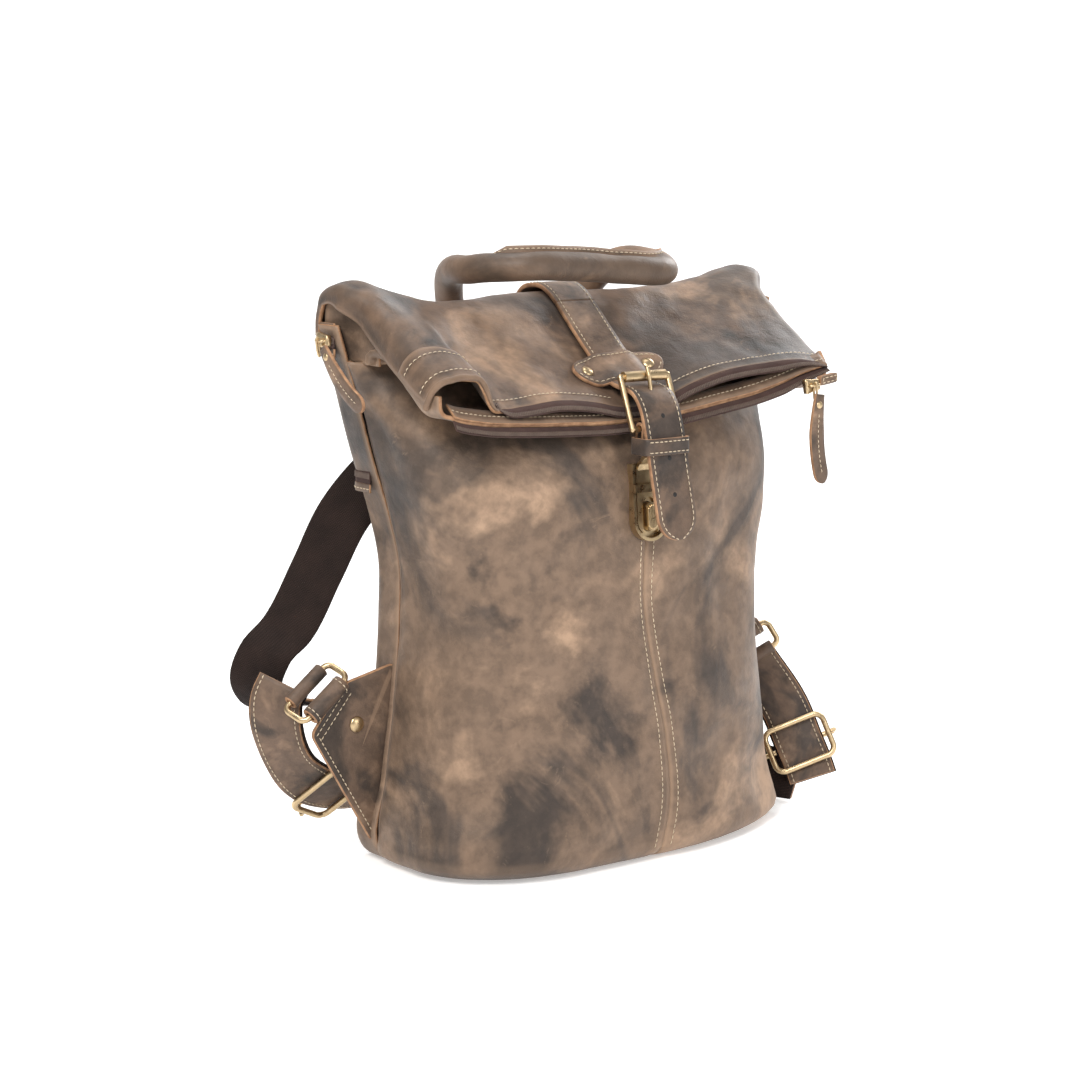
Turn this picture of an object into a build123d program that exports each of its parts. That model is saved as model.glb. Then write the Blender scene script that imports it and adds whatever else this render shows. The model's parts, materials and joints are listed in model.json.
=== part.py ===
"""A roll-top leather backpack, in millimetres.

+Z is up, the front faces -Y and +X is to the right as seen from the front. The origin is the middle of the
flat bottom. The bag is a tall pouch with a bowed front; its flattened top is folded forward over the front and
held by a strap that goes through a buckle to a push lock.
"""

import os

from build123d import *

# ---------------------------------------------------------------- driving dimensions
LEATHER = 3.0  # thickness of the bag's leather
BACK_Y = 75.0  # outer face of the back panel
SEAM_Y = 45.0  # side seams, where the front halves meet the back panel
BACK_CORNER = 9.0  # corner radius of the back panel's wrapped edges
NECK_Z = 352.0  # top of the front halves
BACK_TOP_Z = 376.0  # top of the flat part of the back panel
BASE_BOARD = 2.5  # stiffener that lies on the bottom
LINING = 1.0
BAG_SECTIONS = [  # height, half width, front at the centre seam, centre of the front's curves, flat part on the left
    (0.0, 148.0, -58.0, 8.0, 60.0),
    (10.0, 158.0, -64.0, 3.0, 70.0),
    (60.0, 150.0, -63.0, 2.0, 60.0),
    (120.0, 143.0, -60.0, 2.0, 50.0),
    (174.0, 139.0, -57.0, 3.0, 45.0),
    (210.0, 138.0, -55.0, 5.0, 45.0),
    (243.0, 148.0, -54.0, 8.0, 45.0),
    (285.0, 160.0, -50.0, 16.0, 40.0),
    (298.0, 163.0, -41.0, 22.0, 30.0),
    (310.0, 166.0, -31.0, 28.0, 20.0),
    (335.0, 174.0, 4.0, 43.0, 10.0),
    (352.0, 180.0, 25.0, 53.0, 6.0),
    (376.0, 187.0, 34.0, 56.0, 6.0),
]

FOLD_PIVOT = (46.0, 378.0)  # y, z of the line that the folded top turns about
FLAP_HALF = 170.0  # half width of the folded top
FOLD_HALF = 178.0  # half width of the ridge it folds over
FLAP_OUTER_END = [(34.0, 400.0), (-12.0, 367.0), (-55.0, 339.0)]  # outer face, at either end
FLAP_OUTER_MID = [(34.0, 386.0), (-10.0, 347.0), (-46.0, 322.0)]  # outer face, at the centre
FLAP_INNER_END = [(22.0, 357.0), (-18.0, 336.0), (-52.0, 319.0)]  # underside, at either end
FLAP_INNER_MID = [(22.0, 355.0), (-16.0, 325.0), (-44.0, 303.0)]  # underside, at the centre
RIDGE_END = (48.0, 405.0)
RIDGE_MID = (48.0, 392.0)
TAPE = 1.5  # zip tape thickness
TAPE_HALF = 154.0  # half length of the zip tapes
TAPE_REACH = 7.0  # how far a mouth tape stands out past the leather

STRAP_WIDTH = 34.0  # closing strap
STRAP = 3.2
CLEAR = 0.35  # room between faces of pieces that move past each other
SWING_PIVOT = (-32.2, 336.3)  # y, z of the line where the strap's tail bends at the mouth
ROLLER = (-50.0, 340.5)  # y, z of the buckle's upper bar
PIN = (-64.0, 306.0)  # y, z of the buckle's lower bar, which the prong turns on
BUCKLE_HALF = 20.5  # from the middle of the buckle to the middle of a side bar
BUCKLE_WIRE = 2.1
ROLLER_R = 3.7
PIN_FIT = 0.1  # running clearance round the buckle's bars
PRONG_R = 1.4

LOCK_BASE = (-55.4, 227.0)  # y, z of the lock's lower edge on the leather
LOCK_TOP = (-51.2, 281.0)
LOCK_HALF = 15.0
LOCK_PLATE = 1.6
LOCK_RIM = 6.0  # how far the rim stands out from the leather
LOCK_RIM_WIDTH = 2.2
TONGUE_HALF = 9.5
TONGUE = 2.4

WEBBING_WIDTH = 38.0
WEBBING = 2.4
FACING = 2.4  # leather facing of the lower straps
RING_WIRE = 2.2
RIVET_R = 5.0

Y_AXIS_UP = Plane(origin=(0, 0, 0), x_dir=(0, 1, 0), z_dir=(1, 0, 0))  # sketches of (y, z)
XZ_FRONT = Plane(origin=(0, 0, 0), x_dir=(1, 0, 0), z_dir=(0, -1, 0))  # sketches of (x, z), towards the front


# ---------------------------------------------------------------- helpers
def write(shape, node):
    """Write one sub-part."""
    os.makedirs("parts", exist_ok=True)
    export_step(shape, f"parts/{node}.step")


def block(x, y, z):
    """A box between two values on each axis."""
    return Pos((x[0] + x[1]) / 2, (y[0] + y[1]) / 2, (z[0] + z[1]) / 2) * Box(
        x[1] - x[0], y[1] - y[0], z[1] - z[0]
    )


def yz_face(points, x):
    """A polygon of (y, z) points in the plane across the bag at x."""
    return Pos(x, 0, 0) * (Y_AXIS_UP * make_face(Polyline(*points, close=True)))


def along_x(points, x_from, x_to):
    """A (y, z) polygon carried straight from one x to another."""
    return extrude(yz_face(points, x_from), amount=x_to - x_from)


def sagging(end_points, mid_points, half):
    """A (y, z) polygon lofted from one end of the bag, through the middle, to the other end."""
    sections = [yz_face(end_points, -half), yz_face(mid_points, 0), yz_face(end_points, half)]
    return loft(sections, ruled=True)


def rod(start, end, radius):
    """A round bar between two points."""
    line = Line(start, end)
    return extrude(Plane(origin=start, z_dir=line % 0) * Circle(radius), amount=line.length)


def band(stations, width, thickness, offset=0.0):
    """A flat strap through stations of (centre, direction across); offset moves it off the centre line."""
    faces = []
    for number, (centre, across) in enumerate(stations):
        before = stations[max(number - 1, 0)][0]
        after = stations[min(number + 1, len(stations) - 1)][0]
        along = (Vector(*after) - Vector(*before)).normalized()
        side = Vector(*across)
        side = (side - along * side.dot(along)).normalized()
        normal = side.cross(along)
        plane = Plane(origin=Vector(*centre) + normal * offset, x_dir=side, z_dir=along)
        faces.append(plane * Rectangle(width, thickness))
    return loft(faces, ruled=True)


def wire_frame(plane, width, height, radius, corner):
    """A rectangle of round wire."""
    outline = Wire(FilletPolyline(
        (-width / 2, -height / 2), (width / 2, -height / 2), (width / 2, height / 2), (-width / 2, height / 2),
        radius=corner, close=True,
    ).edges())
    start = outline @ 0
    section = Plane(origin=start, z_dir=outline % 0) * Circle(radius)
    return plane * sweep(section, path=outline)


def dome_rivet(centre, normal, radius=RIVET_R, height=2.6):
    """A low domed head that stands on the leather."""
    cap_radius = (radius**2 + height**2) / (2 * height)
    cap = Pos(0, 0, height - cap_radius) * Sphere(cap_radius)
    head = cap & Pos(0, 0, height / 2) * Cylinder(radius, height)
    return Plane(origin=centre, z_dir=normal) * head


# ---------------------------------------------------------------- the pouch
def bag_section(height, half, front, centre, flat, inset=0.0, back=BACK_Y):
    """The pouch's outline at one height: a flat back with round corners and a bowed front, squarer on the left."""
    half, front, back = half - inset, front + inset, back - inset
    corner = BACK_CORNER - min(inset, BACK_CORNER / 2)
    depth = centre - front
    edges = [
        EllipticalCenterArc((-flat, centre), half - flat, depth, start_angle=180, arc_size=90),
        Line((-flat, front), (0, front)),
        EllipticalCenterArc((0, centre), half, depth, start_angle=270, arc_size=90),
        Line((half, centre), (half, back - corner)),
        CenterArc((half - corner, back - corner), corner, 0, 90),
        Line((half - corner, back), (corner - half, back)),
        CenterArc((corner - half, back - corner), corner, 90, 90),
        Line((-half, back - corner), (-half, centre)),
    ]
    return Pos(0, 0, height) * make_face(Curve() + edges)


def pouch(inset=0.0, back=BACK_Y):
    """The whole pouch as one solid, inset evenly for the inside of a skin."""
    return loft([bag_section(*section, inset=inset, back=back) for section in BAG_SECTIONS], ruled=True)


def pouch_panels():
    wide, tall = 400.0, 500.0
    lock_room = block((-6, 6), (-62, -46), (231, 257))
    skin = pouch() - pouch(LEATHER) - lock_room
    above = (LEATHER, NECK_Z)
    front = skin & block((-wide, wide), (-wide, SEAM_Y), above)
    write(front & block((-wide, 0), (-wide, wide), (0, tall)), "front_left_panel")
    write(front & block((0, wide), (-wide, wide), (0, tall)), "front_right_panel")
    write(skin & block((-wide, wide), (SEAM_Y, wide), (LEATHER, BACK_TOP_Z)), "back_panel")
    write(pouch() & block((-wide, wide), (-wide, wide), (0, LEATHER)), "bottom_panel")
    board_top = LEATHER + BASE_BOARD
    board = pouch(LEATHER + 1.0) & block((-wide, wide), (-wide, wide), (LEATHER, board_top))
    write(board, "bottom_board")
    liner = pouch(LEATHER + 0.5, BACK_Y - 2.2) - (
        pouch(LEATHER + 0.5 + LINING, BACK_Y - 2.2) & block((-wide, wide), (-wide, wide), (board_top + LINING, tall))
    )
    write((liner - lock_room) & block((-wide, wide), (-wide, wide), (board_top + 0.3, NECK_Z - 4)), "lining")


def top_fold():
    """The soft ridge between the pouch and the folded top; it straightens as the top opens."""
    def hook(ridge, start):
        lift = LEATHER + 0.2
        outer = [(BACK_Y, BACK_TOP_Z + 0.3), (BACK_Y - 1, ridge[1] - 12), (BACK_Y - 8, ridge[1] - 3), ridge, start]
        inner = [(start[0] + 1, start[1] - lift), (ridge[0], ridge[1] - lift), (BACK_Y - 10, ridge[1] - 6),
                 (BACK_Y - 1 - LEATHER, ridge[1] - 14), (BACK_Y - LEATHER, BACK_TOP_Z + 0.3)]
        return outer + inner
    end_start = (FLAP_OUTER_END[0][0] + 0.3, FLAP_OUTER_END[0][1])
    mid_start = (FLAP_OUTER_MID[0][0] + 0.3, FLAP_OUTER_MID[0][1])
    write(sagging(hook(RIDGE_END, end_start), hook(RIDGE_MID, mid_start), FOLD_HALF), "top_fold")


# ---------------------------------------------------------------- the folded top
def halfway(first, second):
    return [((a[0] + b[0]) / 2, (a[1] + b[1]) / 2) for a, b in zip(first, second)]


def shifted(points, dy, dz):
    return [(y + dy, z + dz) for y, z in points]


def folded_top():
    middle_end = halfway(FLAP_OUTER_END, FLAP_INNER_END)
    middle_mid = halfway(FLAP_OUTER_MID, FLAP_INNER_MID)
    upper = sagging(FLAP_OUTER_END + middle_end[::-1], FLAP_OUTER_MID + middle_mid[::-1], FLAP_HALF)
    lower = sagging(middle_end + FLAP_INNER_END[::-1], middle_mid + FLAP_INNER_MID[::-1], FLAP_HALF)
    drop = LEATHER + 0.6

    def inside(outer, inner):
        top = shifted(outer, 0, -drop)
        floor = shifted(inner, 0, drop)
        top[0], floor[0] = (top[0][0] + 12, top[0][1] + 8), (floor[0][0] + 12, floor[0][1] + 6)
        top[-1], floor[-1] = (top[-1][0] - 12, top[-1][1] - 7), (floor[-1][0] - 12, floor[-1][1] - 5)
        return top + floor[::-1]

    cavity = sagging(
        inside(FLAP_OUTER_END, FLAP_INNER_END), inside(FLAP_OUTER_MID, FLAP_INNER_MID), FLAP_HALF
    ) & block((LEATHER - FLAP_HALF, FLAP_HALF - LEATHER), (-200, 200), (200, 500))
    write(upper - cavity, "flap_outer_panel")
    write(lower - cavity, "flap_inner_panel")


def mouth_zip():
    """The two zip tapes along the open mouth, and the leather tab that closes them at the right end."""
    reach = TAPE_HALF

    def tape(lip_end, lip_mid, dz):
        def strip(lip):
            y, z = lip[0] - 0.3, lip[1] + dz
            return [(y, z), (y - TAPE_REACH, z - 1), (y - TAPE_REACH, z - 1 - TAPE), (y, z - TAPE)]
        return sagging(strip(lip_end), strip(lip_mid), reach)

    write(tape(FLAP_OUTER_END[-1], FLAP_OUTER_MID[-1], 0), "mouth_zip_upper_tape")
    write(tape(FLAP_INNER_END[-1], FLAP_INNER_MID[-1], LEATHER), "mouth_zip_lower_tape")
    write(block((reach + 0.5, reach + 12), (-66, -57.5), (325, 333)), "mouth_zip_end_tab")


# ---------------------------------------------------------------- the closing strap and its buckle
def ribbon(path, thickness):
    """The outline of a strip of even thickness that follows a path of (y, z) points."""
    left, right = [], []
    for number, point in enumerate(path):
        before, after = path[max(number - 1, 0)], path[min(number + 1, len(path) - 1)]
        along = Vector(after[0] - before[0], after[1] - before[1]).normalized()
        side = Vector(-along.Y, along.X) * (thickness / 2)
        left.append((point[0] + side.X, point[1] + side.Y))
        right.append((point[0] - side.X, point[1] - side.Y))
    return left + right[::-1]


def closing_strap():
    half = STRAP_WIDTH / 2
    over_ridge = [(77.3, 374), (77.3, 378), (75.8, 384.8), (68.6, 393.8), (49.2, 396.0), (35.0, 390.8)]
    write(along_x(ribbon(over_ridge, STRAP), -half, half), "closing_strap_back")
    down_flap = [(31.4, 389.3), (-12.6, 350.9), (SWING_PIVOT[0] + 1.8, SWING_PIVOT[1] + 1.3)]
    write(along_x(ribbon(down_flap, STRAP), -half, half), "closing_strap_front")

    hanging = [SWING_PIVOT, (-40, 333.6), (-48, 332.6), (-58, 329.8), (-66, 321.5), (-70.8, 309), (-73.6, 296),
               (-79.5, 263), (-84.5, 231)]
    tail = along_x(ribbon(hanging, STRAP), -half, half)
    end_y, end_z = hanging[-1]
    corners = block((-half, half), (end_y - 20, end_y + 12), (end_z - 5, end_z + half))
    rounded = Pos(0, end_y, end_z + half) * Rot(90, 0, 0) * Cylinder(half, 60)
    tail -= corners - rounded
    prong_hole = Plane.XY.offset(310) * Pos(0, -59, 0) * SlotOverall(12, 5, rotation=90)
    tail -= extrude(prong_hole, 40)
    for hole_z in (315.0, 286.0, 262.0):
        tail -= Pos(0, -75, hole_z) * Rot(90, 0, 0) * Cylinder(1.8, 24)
    write(tail, "closing_strap_tail")


def flap_point(x, row, lift):
    """A point of the folded top's outer face: row 0 to 2 counts down its outline, lift stands off it."""
    share = abs(x) / FLAP_HALF
    outline = [(m[0] + (e[0] - m[0]) * share, m[1] + (e[1] - m[1]) * share)
               for m, e in zip(FLAP_OUTER_MID, FLAP_OUTER_END)]
    first = min(int(row), 1)
    low, high = outline[first], outline[first + 1]
    part = row - first
    along = Vector(high[0] - low[0], high[1] - low[1]).normalized()
    return (low[0] + (high[0] - low[0]) * part + along.Y * lift, low[1] + (high[1] - low[1]) * part - along.X * lift)


def wing_patch():
    """A leather bridge over the strap, riveted to the folded top at either side of it."""
    over_strap = STRAP + 2 * CLEAR + 2.7
    stations = [(-37, 2.0), (-21, 2.0), (-17.6, over_strap), (17.6, over_strap), (21, 2.0), (37, 2.0)]
    faces = []
    for x, lift in stations:
        narrow = 0.12 if abs(x) > 30 else 0.0
        rows = (0.66 + narrow, 1.0, 1.42 - narrow)
        faces.append(yz_face(ribbon([flap_point(x, row, lift) for row in rows], 2.8), x))
    write(loft(faces, ruled=True), "wing_patch")
    rivets = []
    for side in (-1, 1):
        y, z = flap_point(side * 28, 1.1, 3.95)
        rivets.append(dome_rivet((side * 28, y, z), (0, -0.55, 0.83)))
    write(Compound(rivets), "wing_patch_rivets")


def buckle():
    frame_bars = []
    for side in (-1, 1):
        x = side * BUCKLE_HALF
        frame_bars.append(rod((x, *PIN), (x, *ROLLER), BUCKLE_WIRE))
        frame_bars += [Pos(x, *PIN) * Sphere(BUCKLE_WIRE), Pos(x, *ROLLER) * Sphere(BUCKLE_WIRE)]
    frame_bars.append(rod((-BUCKLE_HALF, *PIN), (BUCKLE_HALF, *PIN), BUCKLE_WIRE))
    frame_bars.append(rod((-BUCKLE_HALF, *ROLLER), (BUCKLE_HALF, *ROLLER), BUCKLE_WIRE))
    frame = frame_bars[0]
    for bar in frame_bars[1:]:
        frame += bar
    write(frame, "buckle_frame")

    length = 2 * (BUCKLE_HALF - BUCKLE_WIRE - 0.5)
    sleeve = Cylinder(ROLLER_R, length) - Cylinder(BUCKLE_WIRE + PIN_FIT, length)
    write(Pos(0, *ROLLER) * Rot(0, 90, 0) * sleeve, "buckle_roller")

    eye = Cylinder(3.9, 4.0) - Cylinder(BUCKLE_WIRE + PIN_FIT, 4.0)
    prong = Pos(0, *PIN) * Rot(0, 90, 0) * eye
    stem = [(-63.4, 309.3), (-58.0, 330.0), (-55.7, 341.0), (-53.6, 346.2)]
    for low, high in zip(stem, stem[1:]):
        prong += rod((0, *low), (0, *high), PRONG_R) + Pos(0, *high) * Sphere(PRONG_R)
    write(prong, "buckle_prong")

    wrap = Cylinder(5.0, STRAP_WIDTH - 3) - Cylinder(BUCKLE_WIRE + 0.2, STRAP_WIDTH - 3)
    layers = along_x([(-66.4, 302), (-61.6, 302), (-61.1, 289.6), (-65.9, 289.6)], 1.5 - STRAP_WIDTH / 2,
                     STRAP_WIDTH / 2 - 1.5)
    chape = Pos(0, *PIN) * Rot(0, 90, 0) * wrap + layers
    chape -= Pos(0, *PIN) * Rot(0, 90, 0) * Cylinder(BUCKLE_WIRE + 0.2, 60)
    chape -= block((-3.2, 3.2), (-80, -50), (301.7, 320))
    write(chape, "buckle_chape")

    loop_z = (289.0, 300.5)
    outer = block((-19.2, 19.2), (-78.6, -58.6), loop_z)
    write(outer - block((-17.5, 17.5), (-76.9, -60.3), loop_z), "keeper_loop")


# ---------------------------------------------------------------- the push lock
def lock_plane():
    """Sketch plane on the leather: x across, y up the lock, z out of the bag."""
    up = Vector(0, LOCK_TOP[0] - LOCK_BASE[0], LOCK_TOP[1] - LOCK_BASE[1]).normalized()
    return Plane(origin=(0, *LOCK_BASE), x_dir=(1, 0, 0), z_dir=Vector(1, 0, 0).cross(up))


def tongue_shape(half, bottom, top):
    """A tongue with a round lower end."""
    face = Pos(0, (bottom + half + top) / 2) * Rectangle(2 * half, top - bottom - half)
    return face + Pos(0, bottom + half) * Circle(half)


def push_lock():
    plane = lock_plane()
    height = LOCK_TOP[1] - LOCK_BASE[1]
    outline = tongue_shape(LOCK_HALF, 0, height)
    well = tongue_shape(LOCK_HALF - LOCK_RIM_WIDTH, LOCK_RIM_WIDTH, height + 1)
    base = extrude(outline, LOCK_RIM) - Pos(0, 0, LOCK_PLATE) * extrude(well, LOCK_RIM)
    button_at = 17.0
    base -= Pos(0, button_at, 0) * extrude(SlotOverall(21, 9.6, rotation=90), LOCK_PLATE)
    write(plane * base, "lock_base")
    write(plane * Pos(0, button_at, -0.9) * extrude(SlotOverall(20, 8.8, rotation=90), 8.1), "push_button")
    spring = Pos(0, button_at, -4.1) * (Cylinder(3.0, 2.8) - Cylinder(2.2, 2.8))
    write(plane * spring, "button_spring")

    front = LOCK_PLATE + CLEAR
    tongue = Pos(0, 0, front) * extrude(tongue_shape(TONGUE_HALF + 1.4, 4.0, 52), TONGUE)
    tongue -= Pos(0, button_at - 2, front) * extrude(SlotOverall(31, 12.4, rotation=90), TONGUE)
    tongue += Pos(0, 37, front + TONGUE) * extrude(Rectangle(14, 5), LOCK_RIM - front - TONGUE + 0.4)
    tongue += Pos(0, 37, LOCK_RIM + 0.4) * extrude(Rectangle(2 * LOCK_HALF, 5.4), 1.8)
    tongue = plane * tongue
    neck = ribbon([(-54.9, 277.0), (-57.0, 281.5), (-63.2, 287.0)], TONGUE)
    write(tongue + along_x(neck, -TONGUE_HALF, TONGUE_HALF), "lock_tongue")


# ---------------------------------------------------------------- zips
SLIDER_STATION_X = 143.0
UPPER_ZIP_Z = 366.0
LOWER_ZIP_Z = 272.0
ZIP_END_Y = 50.0  # where the back zips end, on the bag's sides
POCKET_HALF = 130.0


def zip_pull(plane, length, width=13.0, thickness=2.6):
    """A leather pull that hangs from the plane's origin along -y, with a round end."""
    shape = Pos(0, -length / 2) * SlotOverall(length, width, rotation=90)
    return plane * extrude(shape, thickness / 2, both=True)


def mouth_slider():
    share = SLIDER_STATION_X / FLAP_HALF
    lips = [(m[0] + (e[0] - m[0]) * share, m[1] + (e[1] - m[1]) * share) for m, e in
            ((FLAP_OUTER_MID[-1], FLAP_OUTER_END[-1]), (FLAP_INNER_MID[-1], FLAP_INNER_END[-1]))]
    y = (lips[0][0] + lips[1][0]) / 2 - TAPE_REACH - 3.6
    z = (lips[0][1] + lips[1][1] + LEATHER) / 2 - 1.5
    body = block((SLIDER_STATION_X - 7, SLIDER_STATION_X + 7), (y - 2.4, y + 2.4), (z - 5, z + 5))
    bail = Plane(origin=(SLIDER_STATION_X, y - 4.4, z - 3), x_dir=(1, 0, 0), z_dir=(0, -1, 0))
    ring = bail * (extrude(Rectangle(9, 12), 1.6) - extrude(Rectangle(5.4, 8.4), 1.6))
    lug = block((SLIDER_STATION_X - 4.5, SLIDER_STATION_X + 4.5), (y - 4.6, y - 2.2), (z + 1.6, z + 3))
    write(body + ring + lug, "mouth_zip_slider")
    plane = Plane(origin=(SLIDER_STATION_X, y - 8.2, z - 4.6), x_dir=(1, 0, 0), z_dir=(0, -1, 0))
    pull = zip_pull(plane, 66)
    write(pull, "mouth_zip_pull")


def back_zips():
    """The two zips that run round the back panel's edges, and the pocket bag inside each."""
    skin = pouch(-0.2 - TAPE, BACK_Y) - pouch(-0.2, BACK_Y)
    for name, z, depth in (("upper", UPPER_ZIP_Z, 54.0), ("lower", LOWER_ZIP_Z, 122.0)):
        write(skin & block((-300, 300), (ZIP_END_Y, 300), (z - 6, z + 6)), f"{name}_back_zip")
        inside_face = BACK_Y - LEATHER - 0.2
        pocket = block((-POCKET_HALF, POCKET_HALF), (inside_face - 1.6, inside_face), (z - 8 - depth, z - 8))
        write(pocket, f"{name}_back_pocket")


# ---------------------------------------------------------------- carry handle and strap anchors
HANDLE_R = 10.0
HANDLE_PATH = [(-58, 88, 350), (-64, 90, 384), (-74, 75, 405), (-80, 38, 411), (-62, 9, 414), (0, 4, 411),
               (64, 8, 407), (77, 36, 411), (67, 74, 408), (57, 91, 386), (54, 88, 350)]


def carry_handle():
    path = FilletPolyline(*HANDLE_PATH, radius=11)
    tube = sweep(Plane(origin=path @ 0, z_dir=path % 0) * Circle(HANDLE_R), path=path)
    write(tube, "carry_handle")
    for name, side in (("left", -1), ("right", 1)):
        tab = block((side * 50 - 14, side * 50 + 14), (BACK_Y + 0.2, BACK_Y + 2.8), (306, 351))
        write(tab, f"handle_anchor_{name}")
    write(block((-47, 47), (BACK_Y + 5.6, BACK_Y + 8.2), (300, 326)), "strap_anchor_patch")


# ---------------------------------------------------------------- side tabs, rings and shoulder straps
LOOP_R = 6.4
RING_LONG, RING_SHORT = 45.0, 19.0
SIDES = {  # tab: outline (x, z) outside the seam and its y; bar: the ring's inner bar; across: towards its outer bar
    "left": {
        "tab": [(-141.8, 140), (-143.3, 120), (-150.3, 60), (-157.7, 14), (-206, 97), (-178, 130)], "tab_y": 51.5,
        "rivet": (-171.0, 101.0), "bar": (-194.0, 51.5, 121.0), "along": (0.78, 0, 0.62), "across": (-0.2, 0.85, 0.45),
    },
    "right": {
        "tab": [(143.3, 120), (150.3, 60), (157.7, 14), (182, 112), (172, 120)], "tab_y": 63.0,
        "rivet": (167.0, 92.0), "bar": (181.5, 54.0, 122.3), "along": (0.77, -0.4, 0.5), "across": (0.25, -0.43, -0.87),
    },
}
LEFT_LOWER = [  # stations of the left lower strap: centre, direction across
    ((-211.3, 84, 121.5), (0.65, -0.61, 0.18)), ((-215, 84, 107), (0.6, -0.65, 0.1)),
    ((-206, 86.5, 78), (0.5, -0.75, 0.2)), ((-187, 91, 56), (0.38, -0.6, 0.6)),
    ((-152, 98, 40), (0.38, -0.6, 0.6)), ((-116, 105, 36), (0.38, -0.6, 0.6)),
]
LEFT_UPPER = [
    ((-94, 113, 46), (0.42, -0.6, 0.55)), ((-100, 122, 78), (0.55, -0.8, 0.25)), ((-138, 126, 98), (0.2, -0.95, 0.2)),
    ((-178, 124, 104), (0.1, -0.97, 0.2)), ((-203, 120, 112), (0.3, -0.9, 0.3)), ((-211, 115, 127), (0.6, -0.75, 0.1)),
    ((-206, 112, 143), (0.7, -0.7, 0.0)), ((-187, 112, 160), (0.68, -0.7, -0.2)), ((-163, 111, 199), (0.6, -0.7, -0.3)),
    ((-143, 108, 236), (0.62, -0.6, -0.45)), ((-110, 104, 270), (0.62, -0.35, -0.7)), ((-70, 97, 298), (0.56, -0.1, -0.82)),
    ((-38, 90, 317), (0.52, 0.0, -0.85)),
]
RIGHT_LOWER = [
    ((187.9, 43.0, 99.9), (0.77, -0.4, 0.5)), ((200.6, 24, 69), (0.774, -0.525, 0.355)),
    ((206, 0.9, 25.5), (0.774, -0.525, 0.355)), ((203.5, -5, 17), (0.68, -0.39, 0.62)),
]
RIGHT_UPPER = [
    ((194, 23, 19), (0.4, 0.0, 0.9)), ((189, 37, 20), (0.25, 0.0, 0.95)), ((184, 54, 21.5), (0.1, 0.05, 0.99)),
    ((163, 94, 36), (0.1, 0.1, 0.98)), ((142, 114, 74), (0.5, -0.1, 0.6)), ((120, 120, 130), (0.8, 0.0, 0.4)),
    ((98, 116, 200), (0.9, 0.0, 0.35)), ((70, 106, 262), (0.95, 0.0, 0.3)), ((38, 91, 315), (0.98, 0.0, 0.2)),
]
ADJUSTER_LONG, ADJUSTER_SHORT = 47.0, 33.0
STRAP_LAYER_GAP = 0.3


def ring_plane(bar, along, across):
    """The plane of a side ring, and the direction from its inner bar to its outer bar."""
    along, across = Vector(*along).normalized(), Vector(*across)
    across = (across - along * across.dot(along)).normalized()
    return Plane(origin=Vector(*bar) + across * (RING_SHORT / 2), x_dir=along, z_dir=along.cross(across)), across


def side_tab(name, tab, tab_y, rivet, bar, along, across):
    """The triangular leather tab in a side seam, the loop it makes round the ring's bar, and its rivet."""
    face = XZ_FRONT * make_face(Polyline(*tab, close=True))
    plate = Pos(0, tab_y, 0) * extrude(face, LEATHER / 2, both=True)
    middle, along = Vector(*bar), Vector(*along).normalized()

    def on_bar(reach):
        return tuple(middle + along * reach)

    loop = rod(on_bar(-17.0), on_bar(17.0), LOOP_R)
    plane, _ = ring_plane(bar, along, across)
    plate -= wire_frame(plane, RING_LONG, RING_SHORT, RING_WIRE + 1.2, 5.0)
    write(plate + loop - rod(on_bar(-40.0), on_bar(40.0), RING_WIRE + PIN_FIT), f"{name}_side_tab")
    write(dome_rivet((rivet[0], tab_y - LEATHER / 2, rivet[1]), (0, -1, 0)), f"{name}_tab_rivet")


def ring(name, bar, along, across):
    """The rectangular ring in the tab's loop and the strap's end folded round its outer bar."""
    plane, across = ring_plane(bar, along, across)
    write(wire_frame(plane, RING_LONG, RING_SHORT, RING_WIRE, 5.0), f"{name}_ring")
    outer = Vector(*bar) + across * RING_SHORT
    ends = [tuple(outer + plane.x_dir * reach) for reach in (-16.5, 16.5)]
    write(rod(*ends, 5.6) - rod(*ends, RING_WIRE + 0.3), f"{name}_ring_strap_end")


def strap_layers(stations, node):
    """A strap of webbing with a leather facing sewn to its outer side."""
    step = (WEBBING + STRAP_LAYER_GAP) / 2
    write(band(stations, WEBBING_WIDTH, WEBBING, step), f"{node}_webbing")
    write(band(stations, WEBBING_WIDTH, FACING, -step), f"{node}_facing")


def adjuster(stations, first, share, name):
    """A three-bar slide on the strap: a wire frame over it and a bar with pinned ends under it."""
    (start, across), (end, _) = stations[first], stations[first + 1]
    start, end = Vector(*start), Vector(*end)
    along = (end - start).normalized()
    side = Vector(*across)
    side = (side - along * side.dot(along)).normalized()
    normal = side.cross(along)
    layers = WEBBING + STRAP_LAYER_GAP / 2
    lift = layers + RING_WIRE + CLEAR
    middle = start + (end - start) * share
    plane = Plane(origin=middle - normal * lift, x_dir=side, z_dir=normal)
    write(wire_frame(plane, ADJUSTER_LONG, ADJUSTER_SHORT, RING_WIRE, 7.0), f"{name}_adjuster_frame")
    reach = ADJUSTER_LONG / 2 + 4.0
    under = middle + normal * lift
    bar = rod(tuple(under - side * (reach + 0.7)), tuple(under + side * (reach + 0.7)), RING_WIRE)
    for sign in (-1, 1):
        foot = under + side * (sign * (reach + 0.7))
        bar += rod(tuple(foot), tuple(foot - normal * 2 * lift), 1.6)
    write(bar, f"{name}_adjuster_bar")


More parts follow.
